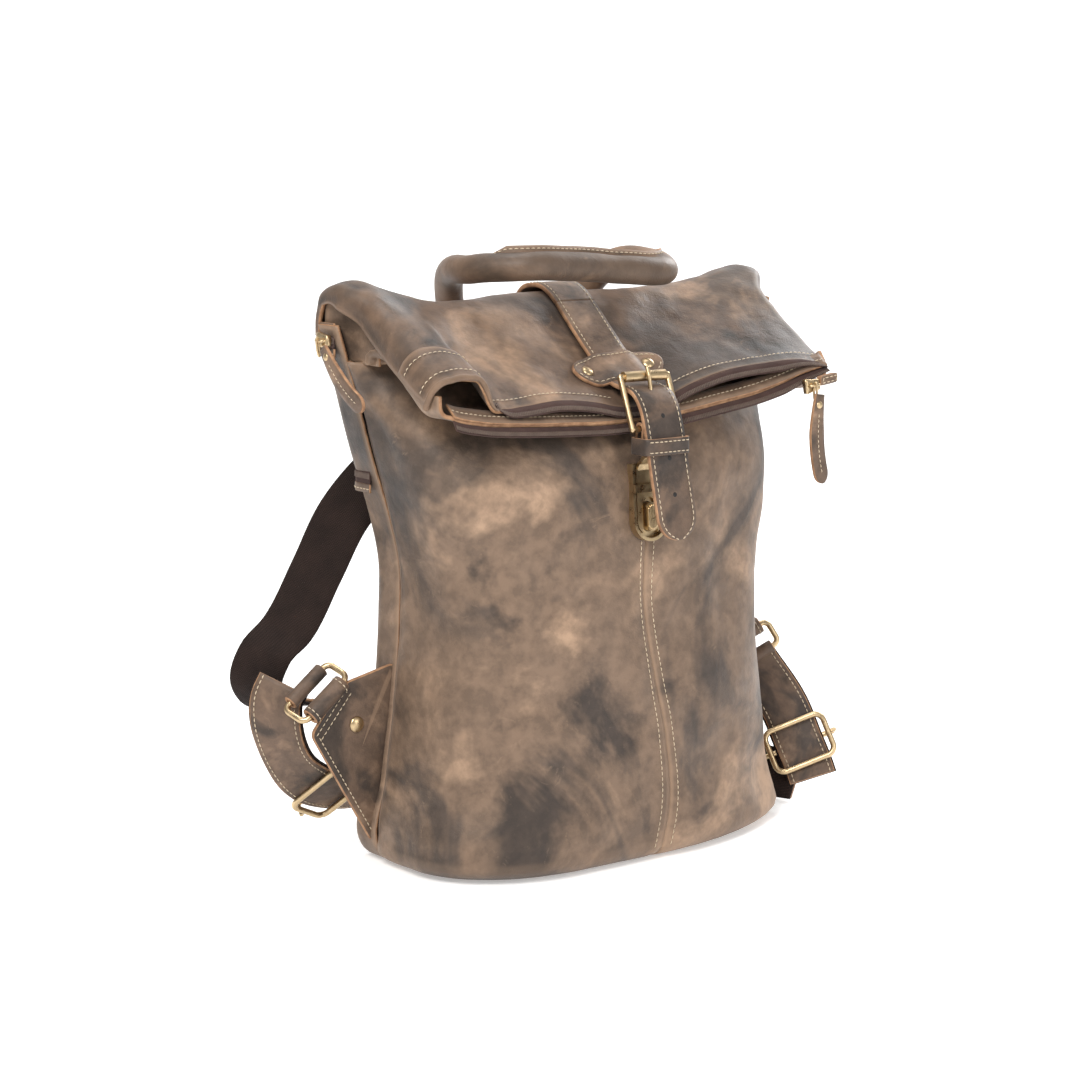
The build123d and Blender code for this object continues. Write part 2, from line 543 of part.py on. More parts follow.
def back_zip_sliders():
    """The two sliders of the back pockets: the upper one at the left edge, the lower one near the right edge."""
    x, y, z = -187.7, 57.0, UPPER_ZIP_Z
    body = block((x - 4.4, x), (y - 7, y + 7), (z - 5, z + 5))
    ring_plane = Plane(origin=(x - 6.2, y - 8, z - 3), x_dir=(0, 1, 0), z_dir=(-1, 0, 0))
    bail = ring_plane * (extrude(Rectangle(12, 9), 1.6) - extrude(Rectangle(8.4, 5.4), 1.6))
    lug = block((x - 7.8, x - 4), (y - 4, y - 1.6), (z - 6.5, z + 1))
    write(body + bail + lug, "upper_back_zip_slider")
    pull = Plane(origin=(x - 9.6, y - 13, z - 4), x_dir=(0, -0.62, 0.785), z_dir=(-1, 0, 0))
    write(zip_pull(pull, 60), "upper_back_zip_pull")
    x, y, z = 118.0, BACK_Y + 4.6, LOWER_ZIP_Z
    body = block((x - 7, x + 7), (y - 2.4, y + 2.4), (z - 5, z + 5))
    lug = block((x - 4.5, x + 4.5), (y + 2.2, y + 4.6), (z - 5, z - 3.4))
    bail = Plane(origin=(x, y + 3.0, z - 8), x_dir=(-1, 0, 0), z_dir=(0, 1, 0)) * (
        extrude(Rectangle(9, 12), 1.6) - extrude(Rectangle(5.4, 8.4), 1.6))
    write(body + lug + bail, "lower_back_zip_slider")
    pull = Plane(origin=(x, y + 6.4, z - 10), x_dir=(-1, 0, 0), z_dir=(0, 1, 0))
    write(zip_pull(pull, 60), "lower_back_zip_pull")


if __name__ == "__main__":
    pouch_panels()
    top_fold()
    folded_top()
    mouth_zip()
    closing_strap()
    wing_patch()
    buckle()
    push_lock()
    mouth_slider()
    back_zips()
    back_zip_sliders()
    carry_handle()
    for name, sizes in SIDES.items():
        side_tab(name, **sizes)
        ring(name, sizes["bar"], sizes["along"], sizes["across"])
    strap_layers(LEFT_LOWER, "left_lower_strap")
    strap_layers(LEFT_UPPER, "left_shoulder_strap")
    strap_layers(RIGHT_LOWER, "right_lower_strap")
    strap_layers(RIGHT_UPPER, "right_shoulder_strap")
    adjuster(LEFT_LOWER, 3, 0.6, "left")
    adjuster(RIGHT_LOWER, 1, 0.6, "right")
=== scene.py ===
import json
from math import cos, pi, radians, sin

import bmesh
import bpy
import numpy as np
from mathutils import Matrix, Vector, noise


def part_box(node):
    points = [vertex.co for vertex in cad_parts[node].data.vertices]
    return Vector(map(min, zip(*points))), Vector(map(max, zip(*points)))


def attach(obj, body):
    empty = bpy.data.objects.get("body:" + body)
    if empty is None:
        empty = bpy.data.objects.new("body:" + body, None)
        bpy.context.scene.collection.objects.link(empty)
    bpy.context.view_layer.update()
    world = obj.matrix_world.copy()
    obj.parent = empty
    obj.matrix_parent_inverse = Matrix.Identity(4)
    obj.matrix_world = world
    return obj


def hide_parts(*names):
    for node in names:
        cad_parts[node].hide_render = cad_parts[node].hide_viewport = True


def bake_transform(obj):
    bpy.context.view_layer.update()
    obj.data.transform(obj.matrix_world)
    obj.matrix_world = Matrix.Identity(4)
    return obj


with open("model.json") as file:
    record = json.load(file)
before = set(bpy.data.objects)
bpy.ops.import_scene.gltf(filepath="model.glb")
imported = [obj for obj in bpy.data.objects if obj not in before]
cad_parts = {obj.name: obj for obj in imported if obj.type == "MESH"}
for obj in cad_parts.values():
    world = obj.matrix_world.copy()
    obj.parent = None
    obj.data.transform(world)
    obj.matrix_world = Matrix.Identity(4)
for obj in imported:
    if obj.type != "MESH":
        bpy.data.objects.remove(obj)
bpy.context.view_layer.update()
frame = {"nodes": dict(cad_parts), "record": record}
NODES = frame["nodes"]
MM = 0.001  # Shapes below are written in millimetres.

# ---------------------------------------------------------------- camera, floor and light
LOOK_AT = Vector((0.0, 0.0, 0.200))
AZIMUTH, ELEVATION, ROLL = radians(37.9), radians(9.7), radians(-0.4)
DISTANCE = 2.0
LENS = 94.43
SHIFT_X, SHIFT_Y = -0.0533, 0.0261


def make_camera():
    back = Vector((-sin(AZIMUTH) * cos(ELEVATION), -cos(AZIMUTH) * cos(ELEVATION), sin(ELEVATION)))
    data = bpy.data.cameras.new("camera")
    data.lens, data.sensor_width = LENS, 36.0
    data.shift_x, data.shift_y = SHIFT_X, SHIFT_Y
    camera = bpy.data.objects.new("camera", data)
    bpy.context.scene.collection.objects.link(camera)
    turn = (-back).to_track_quat("-Z", "Y").to_matrix().to_4x4() @ Matrix.Rotation(-ROLL, 4, "Z")
    camera.matrix_world = Matrix.Translation(LOOK_AT + back * DISTANCE) @ turn
    bpy.context.scene.camera = camera


def area_light(name, place, target, size, power, colour=(1, 1, 1)):
    data = bpy.data.lights.new(name, "AREA")
    data.shape, data.size, data.energy, data.color = "DISK", size, power, colour
    light = bpy.data.objects.new(name, data)
    bpy.context.scene.collection.objects.link(light)
    light.location = place
    light.rotation_euler = (Vector(target) - Vector(place)).to_track_quat("-Z", "Y").to_euler()


def make_studio():
    mesh = bpy.data.meshes.new("floor")
    side, rise = 3.0, 2.4
    profile = [(-side, 0.0), (side * 0.55, 0.0)]
    profile += [(side * 0.55 + 0.9 * sin(a), 0.9 - 0.9 * cos(a)) for a in np.linspace(0.2, pi / 2, 8)]
    profile.append((side * 0.55 + 0.9, rise))
    points, faces = [], []
    for x in (-side * 1.6, side * 1.6):
        points += [(x, y, z) for y, z in profile]
    count = len(profile)
    for i in range(count - 1):
        faces.append((i, i + 1, count + i + 1, count + i))
    turn = Matrix.Rotation(-AZIMUTH, 4, "Z")
    mesh.from_pydata([turn @ Vector(p) for p in points], [], faces)
    mesh.update()
    floor = bpy.data.objects.new("floor", mesh)
    bpy.context.scene.collection.objects.link(floor)
    material, shader, _ = new_material("pale_floor")
    shader.inputs["Base Color"].default_value = (0.9, 0.9, 0.9, 1)
    shader.inputs["Roughness"].default_value = 0.9
    shader.inputs["Emission Color"].default_value = (1, 1, 1, 1)
    shader.inputs["Emission Strength"].default_value = 0.34
    mesh.materials.append(material)
    world = bpy.data.worlds.new("studio")
    world.use_nodes = True
    world.node_tree.nodes["Background"].inputs[0].default_value = (1.0, 1.0, 1.0, 1)
    world.node_tree.nodes["Background"].inputs[1].default_value = 0.38
    bpy.context.scene.world = world
    area_light("key", (-1.5, -1.0, 1.7), (0, 0, 0.2), 1.1, 46, (1.0, 0.985, 0.96))
    area_light("front", (0.4, -2.2, 0.9), (0, 0, 0.2), 1.4, 16)
    area_light("rim", (1.7, 0.5, 1.3), (0, 0, 0.25), 1.0, 26)
    area_light("top", (0.1, 0.5, 2.2), (0, 0, 0.3), 1.2, 22)
    bpy.context.scene.view_settings.view_transform = "Standard"


# ---------------------------------------------------------------- materials
def new_material(name):
    material = bpy.data.materials.new(name)
    material.use_nodes = True
    tree = material.node_tree
    return material, tree.nodes["Principled BSDF"], tree


def add_node(tree, kind, **values):
    node = tree.nodes.new(kind)
    for key, value in values.items():
        if key in node.inputs:
            node.inputs[key].default_value = value
        else:
            setattr(node, key, value)
    return node


def noise_at(tree, vector, scale, detail=4.0, rough=0.55, distort=0.0):
    node = add_node(tree, "ShaderNodeTexNoise", Scale=scale, Detail=detail, Roughness=rough,
                    Distortion=distort)
    tree.links.new(vector, node.inputs["Vector"])
    return node.outputs["Fac"]


def ramp(tree, value, stops):
    node = tree.nodes.new("ShaderNodeValToRGB")
    elements = node.color_ramp.elements
    while len(elements) < len(stops):
        elements.new(0.5)
    for element, (place, colour) in zip(elements, stops):
        element.position = place
        element.color = (*colour, 1) if len(colour) == 3 else colour
    tree.links.new(value, node.inputs[0])
    return node.outputs[0]


def mix(tree, factor, first, second, mode="MIX"):
    node = add_node(tree, "ShaderNodeMix", data_type="RGBA", blend_type=mode)
    if isinstance(factor, float):
        node.inputs[0].default_value = factor
    else:
        tree.links.new(factor, node.inputs[0])
    for socket, value in ((node.inputs[6], first), (node.inputs[7], second)):
        if isinstance(value, tuple):
            socket.default_value = (*value, 1)
        else:
            tree.links.new(value, socket)
    return node.outputs[2]


def grey(value):
    return (value, value, value)


def bump(tree, height, strength, distance, below=None):
    node = add_node(tree, "ShaderNodeBump", Strength=strength, Distance=distance)
    tree.links.new(height, node.inputs["Height"])
    if below is not None:
        tree.links.new(below, node.inputs["Normal"])
    return node.outputs["Normal"]


def leather(name, light, middle, dark, cloud=1.0, rough=0.52, seed=0.0):
    """Waxed pull-up leather: clouded colour, dark rubbed-in patches, pale creases, fine pores and scuffs."""
    material, shader, tree = new_material(name)
    coords = tree.nodes.new("ShaderNodeTexCoord")
    place = add_node(tree, "ShaderNodeMapping")
    place.inputs["Location"].default_value = (seed, seed * 0.7, -seed)
    tree.links.new(coords.outputs["Object"], place.inputs["Vector"])
    vector = place.outputs["Vector"]
    clouds = noise_at(tree, vector, 11 * cloud, 5, 0.55, 0.6)
    colour = ramp(tree, clouds, [(0.36, dark), (0.45, middle), (0.53, middle), (0.66, light)])
    patches = ramp(tree, noise_at(tree, vector, 6.5 * cloud, 4, 0.6, 1.2),
                   [(0.50, grey(0.0)), (0.60, grey(1.0))])
    blue_grey = (dark[0] * 0.62, dark[1] * 0.74, dark[2] * 0.92)
    colour = mix(tree, patches, colour, mix(tree, 0.72, colour, blue_grey))
    mottle = ramp(tree, noise_at(tree, vector, 85, 4, 0.6), [(0.38, grey(0.80)), (0.62, grey(1.2))])
    colour = mix(tree, 1.0, colour, mottle, "MULTIPLY")
    scuffs = ramp(tree, noise_at(tree, vector, 38, 8, 0.72, 2.2), [(0.60, grey(0.0)), (0.74, grey(1.0))])
    colour = mix(tree, ramp(tree, scuffs, [(0.0, grey(0.0)), (1.0, grey(0.42))]), colour, light)
    edges = tree.nodes.new("ShaderNodeNewGeometry")
    worn = ramp(tree, edges.outputs["Pointiness"], [(0.505, grey(0.0)), (0.56, grey(0.55))])
    colour = mix(tree, worn, colour, light)
    tree.links.new(colour, shader.inputs["Base Color"])
    shine = ramp(tree, noise_at(tree, vector, 22, 4),
                 [(0.3, grey(rough - 0.07)), (0.7, grey(rough + 0.16))])
    tree.links.new(shine, shader.inputs["Roughness"])
    pores = add_node(tree, "ShaderNodeTexVoronoi", Scale=950.0, Randomness=1.0)
    tree.links.new(vector, pores.inputs["Vector"])
    normal = bump(tree, pores.outputs["Distance"], 0.20, 0.0004)
    normal = bump(tree, noise_at(tree, vector, 420, 4, 0.65), 0.32, 0.0005, normal)
    normal = bump(tree, noise_at(tree, vector, 62, 5, 0.6, 0.8), 0.34, 0.0018, normal)
    tree.links.new(normal, shader.inputs["Normal"])
    shader.inputs["Specular IOR Level"].default_value = 0.38
    shader.inputs["Sheen Weight"].default_value = 0.06
    return material


def raw_edge():
    """Cut edge of the hide: tan fibres."""
    material, shader, tree = new_material("raw_leather_edge")
    coords = tree.nodes.new("ShaderNodeTexCoord").outputs["Object"]
    colour = ramp(tree, noise_at(tree, coords, 160, 5),
                  [(0.3, (0.20, 0.10, 0.05)), (0.7, (0.42, 0.235, 0.125))])
    tree.links.new(colour, shader.inputs["Base Color"])
    shader.inputs["Roughness"].default_value = 0.85
    tree.links.new(bump(tree, noise_at(tree, coords, 900, 3), 0.5, 0.0006), shader.inputs["Normal"])
    return material


def woven(name, colour_a, colour_b, across, scale, rough=0.85):
    """Cloth with a two-way weave; across is the direction over the ribs."""
    material, shader, tree = new_material(name)
    coords = tree.nodes.new("ShaderNodeTexCoord")
    turned = add_node(tree, "ShaderNodeMapping")
    turned.inputs["Rotation"].default_value = across
    tree.links.new(coords.outputs["Object"], turned.inputs["Vector"])
    waves = []
    for direction in ("X", "Z"):
        wave = add_node(tree, "ShaderNodeTexWave", bands_direction=direction, Scale=scale, Distortion=0.6)
        wave.inputs["Detail"].default_value = 2.0
        tree.links.new(turned.outputs["Vector"], wave.inputs["Vector"])
        waves.append(wave.outputs["Fac"])
    weave = mix(tree, 0.5, waves[0], waves[1])
    dirt = noise_at(tree, coords.outputs["Object"], 60, 4)
    colour = mix(tree, weave, colour_a, colour_b)
    colour = mix(tree, 1.0, colour, ramp(tree, dirt, [(0.3, grey(0.75)), (0.7, grey(1.2))]), "MULTIPLY")
    tree.links.new(colour, shader.inputs["Base Color"])
    shader.inputs["Roughness"].default_value = rough
    shader.inputs["Sheen Weight"].default_value = 0.03
    shader.inputs["Specular IOR Level"].default_value = 0.2
    tree.links.new(bump(tree, weave, 0.6, 0.0006), shader.inputs["Normal"])
    return material


def brass(name, colour, tarnish, rough):
    material, shader, tree = new_material(name)
    coords = tree.nodes.new("ShaderNodeTexCoord").outputs["Object"]
    stain = ramp(tree, noise_at(tree, coords, 90, 6, 0.6, 0.5), [(0.30, grey(0.0)), (0.75, grey(0.6))])
    tree.links.new(mix(tree, stain, colour, tarnish), shader.inputs["Base Color"])
    shine = ramp(tree, noise_at(tree, coords, 240, 5),
                 [(0.3, grey(rough - 0.06)), (0.7, grey(rough + 0.14))])
    tree.links.new(shine, shader.inputs["Roughness"])
    shader.inputs["Metallic"].default_value = 1.0
    tree.links.new(bump(tree, noise_at(tree, coords, 1500, 3), 0.08, 0.0002), shader.inputs["Normal"])
    return material


def thread(name, colour):
    """Waxed sewing thread, twisted."""
    material, shader, tree = new_material(name)
    coords = tree.nodes.new("ShaderNodeTexCoord").outputs["Object"]
    tint = ramp(tree, noise_at(tree, coords, 130, 3),
                [(0.3, tuple(c * 0.72 for c in colour)), (0.7, colour)])
    tree.links.new(tint, shader.inputs["Base Color"])
    shader.inputs["Roughness"].default_value = 0.7
    tree.links.new(bump(tree, noise_at(tree, coords, 2600, 2), 0.5, 0.0003), shader.inputs["Normal"])
    return material


BODY = leather("body_leather", (0.305, 0.200, 0.130), (0.148, 0.096, 0.063), (0.040, 0.027, 0.020))
TOP = leather("folded_top_leather", (0.270, 0.170, 0.105), (0.112, 0.068, 0.043), (0.028, 0.019, 0.014),
              seed=3.1)
STRAP = leather("strap_leather", (0.250, 0.160, 0.103), (0.108, 0.068, 0.045), (0.042, 0.028, 0.020),
                cloud=1.8, seed=7.7)
EDGE = raw_edge()
THREAD = thread("stitching_thread", (0.62, 0.50, 0.35))
WEBBING = woven("strap_webbing", (0.009, 0.005, 0.004), (0.024, 0.013, 0.010), (0.0, 0.6, 0.5), 260)
TAPE = woven("zip_tape_cloth", (0.040, 0.023, 0.020), (0.085, 0.048, 0.040), (0.0, 0.0, 0.0), 420)
COIL = thread("zip_coil", (0.125, 0.085, 0.066))
CLOTH = woven("lining_cloth", (0.028, 0.020, 0.015), (0.055, 0.040, 0.030), (0.0, 0.0, 0.0), 300)
BRASS = brass("antique_brass", (0.62, 0.47, 0.28), (0.30, 0.215, 0.12), 0.30)
# Painted shade: a near-black colour for the discs that stand in for the shade inside the strap's punched holes.
HOLE_SHADE = thread("painted_hole_shade", (0.010, 0.008, 0.007))
DARK_BRASS = brass("aged_brass", (0.36, 0.27, 0.155), (0.20, 0.14, 0.08), 0.36)


# ---------------------------------------------------------------- mesh helpers
def smooth_curve(values, keys, samples):
    """Cubic interpolation of rows of values given at increasing keys."""
    keys, values = np.asarray(keys, float), np.asarray(values, float)
    if values.ndim == 1:
        values = values[:, None]
    slope = np.gradient(values, keys, axis=0)
    samples = np.clip(np.asarray(samples, float), keys[0], keys[-1])
    index = np.clip(np.searchsorted(keys, samples) - 1, 0, len(keys) - 2)
    step = (keys[index + 1] - keys[index])[:, None]
    t = ((samples - keys[index])[:, None]) / step
    out = (2 * t**3 - 3 * t**2 + 1) * values[index] + (t**3 - 2 * t**2 + t) * step * slope[index]
    out += (-2 * t**3 + 3 * t**2) * values[index + 1] + (t**3 - t**2) * step * slope[index + 1]
    return out


def distances(line):
    """How far along a line each of its points is."""
    return np.concatenate([[0], np.cumsum(np.linalg.norm(np.diff(line, axis=0), axis=1))])


def at_distances(line, run, wanted):
    """The places at the wanted distances along a line, where run is the distance of each of its points."""
    return np.stack([np.interp(wanted, run, line[:, axis]) for axis in range(line.shape[1])], axis=1)


def noise_over(points, size, shift=(0, 0, 0)):
    """Smooth noise at each of a grid of points; size is how wide its lumps are along each axis, in millimetres."""
    places = points / np.array(size, float) + shift
    return np.array([[noise.noise(Vector(place)) for place in row] for row in places])


def circle(side, other, count):
    """Directions all the way round, starting at side and turning towards other."""
    angles = np.linspace(0, 2 * pi, count, endpoint=False)
    return np.cos(angles)[:, None] * side + np.sin(angles)[:, None] * other


def ring_faces(first, rings, ring):
    """Faces of a capped rod whose points come in rings of ring points, from point number first on."""
    faces = []
    for k in range(rings - 1):
        for j in range(ring):
            a, b = first + k * ring + j, first + k * ring + (j + 1) % ring
            faces.append((a, b, b + ring, a + ring))
    faces.append(tuple(first + j for j in reversed(range(ring))))
    faces.append(tuple(first + (rings - 1) * ring + j for j in range(ring)))
    return faces


def spline(points, count):
    """Evenly spaced points on a smooth line through the given ones."""
    points = np.asarray(points, float)
    lengths = distances(points)
    dense = smooth_curve(points, lengths, np.linspace(0, lengths[-1], count * 6))
    run = distances(dense)
    wanted = np.linspace(0, run[-1], count)
    return at_distances(dense, run, wanted)


def object_from(name, points, faces, materials):
    mesh = bpy.data.meshes.new(name)
    mesh.from_pydata([tuple(p) for p in np.asarray(points, float) * MM], [], faces)
    for material in materials:
        mesh.materials.append(material)
    mesh.update()
    mesh.polygons.foreach_set("use_smooth", [True] * len(mesh.polygons))
    piece = bpy.data.objects.new(name, mesh)
    bpy.context.scene.collection.objects.link(piece)
    return piece


def grid(name, points, materials, closed=False):
    """A surface through a rows x columns x 3 array of points; closed joins the last column to the first."""
    rows, columns = points.shape[:2]
    faces = []
    for r in range(rows - 1):
        for c in range(columns if closed else columns - 1):
            d = (c + 1) % columns
            faces.append((r * columns + c, r * columns + d, (r + 1) * columns + d, (r + 1) * columns + c))
    return object_from(name, points.reshape(-1, 3), faces, materials)


def apply_modifiers(piece):
    depsgraph = bpy.context.evaluated_depsgraph_get()
    mesh = bpy.data.meshes.new_from_object(piece.evaluated_get(depsgraph))
    piece.modifiers.clear()
    piece.data = mesh
    return piece


def thicken(piece, thickness, rim=1, offset=-1.0):
    """Give a surface the hide's thickness; its cut edges take material number rim."""
    solid = piece.modifiers.new("thickness", "SOLIDIFY")
    solid.thickness, solid.offset = thickness * MM, offset
    solid.use_rim, solid.material_offset_rim = True, rim
    solid.use_quality_normals = True
    return apply_modifiers(piece)


def joined(name, pieces):
    """One object from several, keeping their materials."""
    mesh = bpy.data.meshes.new(name)
    total = bmesh.new()
    slots = []
    for piece in pieces:
        part = piece.data
        remap = []
        for material in part.materials:
            if material not in slots:
                slots.append(material)
            remap.append(slots.index(material))
        start = len(total.faces)
        total.from_mesh(part)
        total.faces.ensure_lookup_table()
        for face in total.faces[start:]:
            face.material_index = remap[face.material_index] if remap else 0
        bpy.data.objects.remove(piece)
    total.to_mesh(mesh)
    total.free()
    for material in slots:
        mesh.materials.append(material)
    whole = bpy.data.objects.new(name, mesh)
    bpy.context.scene.collection.objects.link(whole)
    return whole


def unit(vectors):
    vectors = np.asarray(vectors, float)
    return vectors / np.maximum(np.linalg.norm(vectors, axis=-1, keepdims=True), 1e-9)


def along(line):
    """Unit directions along a line of points."""
    return unit(np.gradient(np.asarray(line, float), axis=0))


def stitches(name, line, normals, pitch=3.9, length=3.0, width=0.85, height=0.55):
    """A row of sewn stitches: short arched capsules laid along a line on a surface."""
    line, normals = np.asarray(line, float), unit(normals)
    run = distances(line)
    count = max(1, int(run[-1] / pitch))
    ring, rings = 6, 5
    points, faces = [], []
    for number in range(count):
        middle = (number + 0.5) * run[-1] / count
        spots = np.clip(middle + np.linspace(-0.5, 0.5, rings) * length, 0, run[-1])
        centre = at_distances(line, run, spots)
        normal = unit(at_distances(normals, run, [middle]))[0]
        direction = unit(centre[-1] - centre[0])
        side = unit(np.cross(direction, normal))
        first = len(points)
        for k in range(rings):
            share = sin(pi * (0.08 + 0.84 * k / (rings - 1)))
            lift = height * (share - 0.35)
            for j in range(ring):
                angle = 2 * pi * j / ring
                offset = side * cos(angle) * width / 2 * share + normal * (sin(angle) * height / 2 * share
                                                                           + lift)
                points.append(centre[k] + offset)
        faces += ring_faces(first, rings, ring)
    return object_from(name, points, faces, [THREAD])


def tube(name, line, radius, material, sides=12, closed=False):
    """A round tube along a line; radius may be one number or one for each point."""
    line = np.asarray(line, float)
    if closed:
        direction = unit(np.roll(line, -1, axis=0) - np.roll(line, 1, axis=0))
    else:
        direction = along(line)
    radii = np.full(len(line), float(radius)) if np.isscalar(radius) else np.asarray(radius, float)
    seed = np.array([0.0, 0.0, 1.0])
    if abs(direction[0] @ unit(seed)) > 0.95:
        seed = np.array([1.0, 0.0, 0.0])
    sections = []
    side = None
    for place, d, r in zip(line, direction, radii):
        side = seed - d * (seed @ d) if side is None else side - d * (side @ d)
        side = unit(side)
        sections.append(place + r * circle(side, np.cross(d, side), sides))
    points = np.array(sections)
    if closed:
        points = np.concatenate([points, points[:1]])
    piece = grid(name, points, [material], closed=True)
    if not closed:
        cap_ends(piece)
    return piece


def cap_ends(piece):
    data = bmesh.new()
    data.from_mesh(piece.data)
    bmesh.ops.holes_fill(data, edges=[e for e in data.edges if e.is_boundary], sides=0)
    data.to_mesh(piece.data)
    data.free()
    piece.data.polygons.foreach_set("use_smooth", [True] * len(piece.data.polygons))


# ---------------------------------------------------------------- the pouch
SEAM_Y = 45.0
BACK_Y = 75.0
SECTIONS = np.array([  # height, half width, front, centre of the front's curves, flat part on the left
    (0.0, 149.0, -56.0, 8.0, 55.0), (6.0, 156.0, -62.0, 4.0, 66.0), (22.0, 157.0, -65.0, 2.0, 70.0),
    (60.0, 150.0, -63.0, 2.0, 60.0), (120.0, 143.0, -60.0, 2.0, 50.0), (174.0, 139.0, -57.0, 3.0, 45.0),
    (210.0, 139.5, -55.0, 5.0, 45.0), (243.0, 148.0, -54.0, 8.0, 45.0), (275.0, 157.0, -52.0, 14.0, 42.0),
    (298.0, 163.0, -41.0, 22.0, 30.0), (310.0, 166.0, -31.0, 28.0, 20.0), (335.0, 174.0, 3.0, 42.0, 10.0),
    (352.0, 180.0, 23.0, 44.0, 6.0),
])
SEAM_X = np.array([(0, 8), (23, 14), (48, 18), (84, 14.6), (121, 7.6), (157, 0.6), (185, -3), (224, 0),
                   (300, 0), (352, 0)])
SIDE_HALF = np.array([(0, 149), (10, 156), (60, 150), (120, 143), (174, 139), (210, 139.5), (243, 147),
                      (285, 160),
                      (335, 174), (376, 187)])
DENTS = [  # across (0 left seam, 1 right seam), height, reach across, reach up, depth: soft hollows and swells
    (0.20, 262, 0.08, 30, 4.0), (0.33, 225, 0.07, 45, -4.0), (0.12, 175, 0.06, 60, -3.5),
         (0.24, 120, 0.08, 60, 3.0),
    (0.35, 40, 0.12, 30, 3.5), (0.20, 22, 0.08, 16, 4.0), (0.46, 150, 0.05, 60, 2.0),
         (0.60, 60, 0.07, 30, -3.0),
    (0.74, 42, 0.06, 22, -7.0), (0.86, 14, 0.06, 14, 5.0), (0.70, 130, 0.09, 50, 3.0),
         (0.80, 230, 0.07, 50, 3.0),
    (0.66, 205, 0.05, 60, -3.0), (0.09, 300, 0.05, 22, -3.0), (0.84, 300, 0.06, 30, -3.0),
         (0.04, 60, 0.05, 40, 2.5),
]


def front_outline(z, t):
    """Points round the front of the pouch: t is 0 at the left seam, 0.5 at the centre seam, 1 at the right seam."""
    _, half, front, centre, flat = smooth_curve(SECTIONS, SECTIONS[:, 0], [z])[0]
    seam = read(SEAM_X, z)[0]
    out = np.zeros((len(t), 3))
    out[:, 2] = z
    for i, v in enumerate(t):
        if v < 0.10:
            out[i, :2] = (-half, SEAM_Y + (centre - SEAM_Y) * v / 0.10)
        elif v < 0.38:
            a = (v - 0.10) / 0.28 * pi / 2
            out[i, :2] = (-flat - (half - flat) * cos(a), centre + (front - centre) * sin(a))
        elif v < 0.5:
            out[i, :2] = (-flat + (flat + seam) * (v - 0.38) / 0.12, front)
        elif v < 0.90:
            a = (v - 0.5) / 0.40 * pi / 2
            out[i, :2] = (seam + (half - seam) * sin(a), centre + (front - centre) * cos(a))
        else:
            out[i, :2] = (half, centre + (SEAM_Y - centre) * (v - 0.90) / 0.10)
    return out


def front_surface(t, heights):
    points = np.array([front_outline(z, t) for z in heights])
    across = np.gradient(points, axis=1)
    normal = np.stack([across[..., 1], -across[..., 0], np.zeros(points.shape[:2])], axis=-1)
    normal = unit(normal)
    depth = np.zeros(points.shape[:2])
    T, Z = np.meshgrid(t, heights)
    for at, height, wide, tall, amount in DENTS:
        depth += amount * np.exp(-((T - at) / wide) ** 2 - ((Z - height) / tall) ** 2)
    hold = np.clip(1 - np.exp(-(((T - 0.5) / 0.02) ** 2)), 0.15, 1) * np.clip((356 - Z) / 40, 0, 1)
    lock = np.exp(-(((T - 0.5) / 0.07) ** 4) - ((Z - 255) / 40) ** 4)
    depth = depth * hold * (1 - lock)
    rough = noise_over(points, (62, 62, 80))
    fine = noise_over(points, (17, 17, 24))
    depth += (2.3 * rough + 0.55 * fine) * (1 - lock) * np.clip((356 - Z) / 20, 0, 1)
    depth -= 1.3 * np.exp(-(((T - 0.5) / 0.006) ** 2))
    depth -= 1.6 * np.exp(-((T / 0.012) ** 2)) + 1.6 * np.exp(-(((1 - T) / 0.012) ** 2))
    return points + normal * depth[..., None], normal


def sample(points, t_values, t):
    """The line of a surface's points at one value across."""
    return np.array([[np.interp(t, t_values, row[:, a]) for a in range(3)] for row in points])


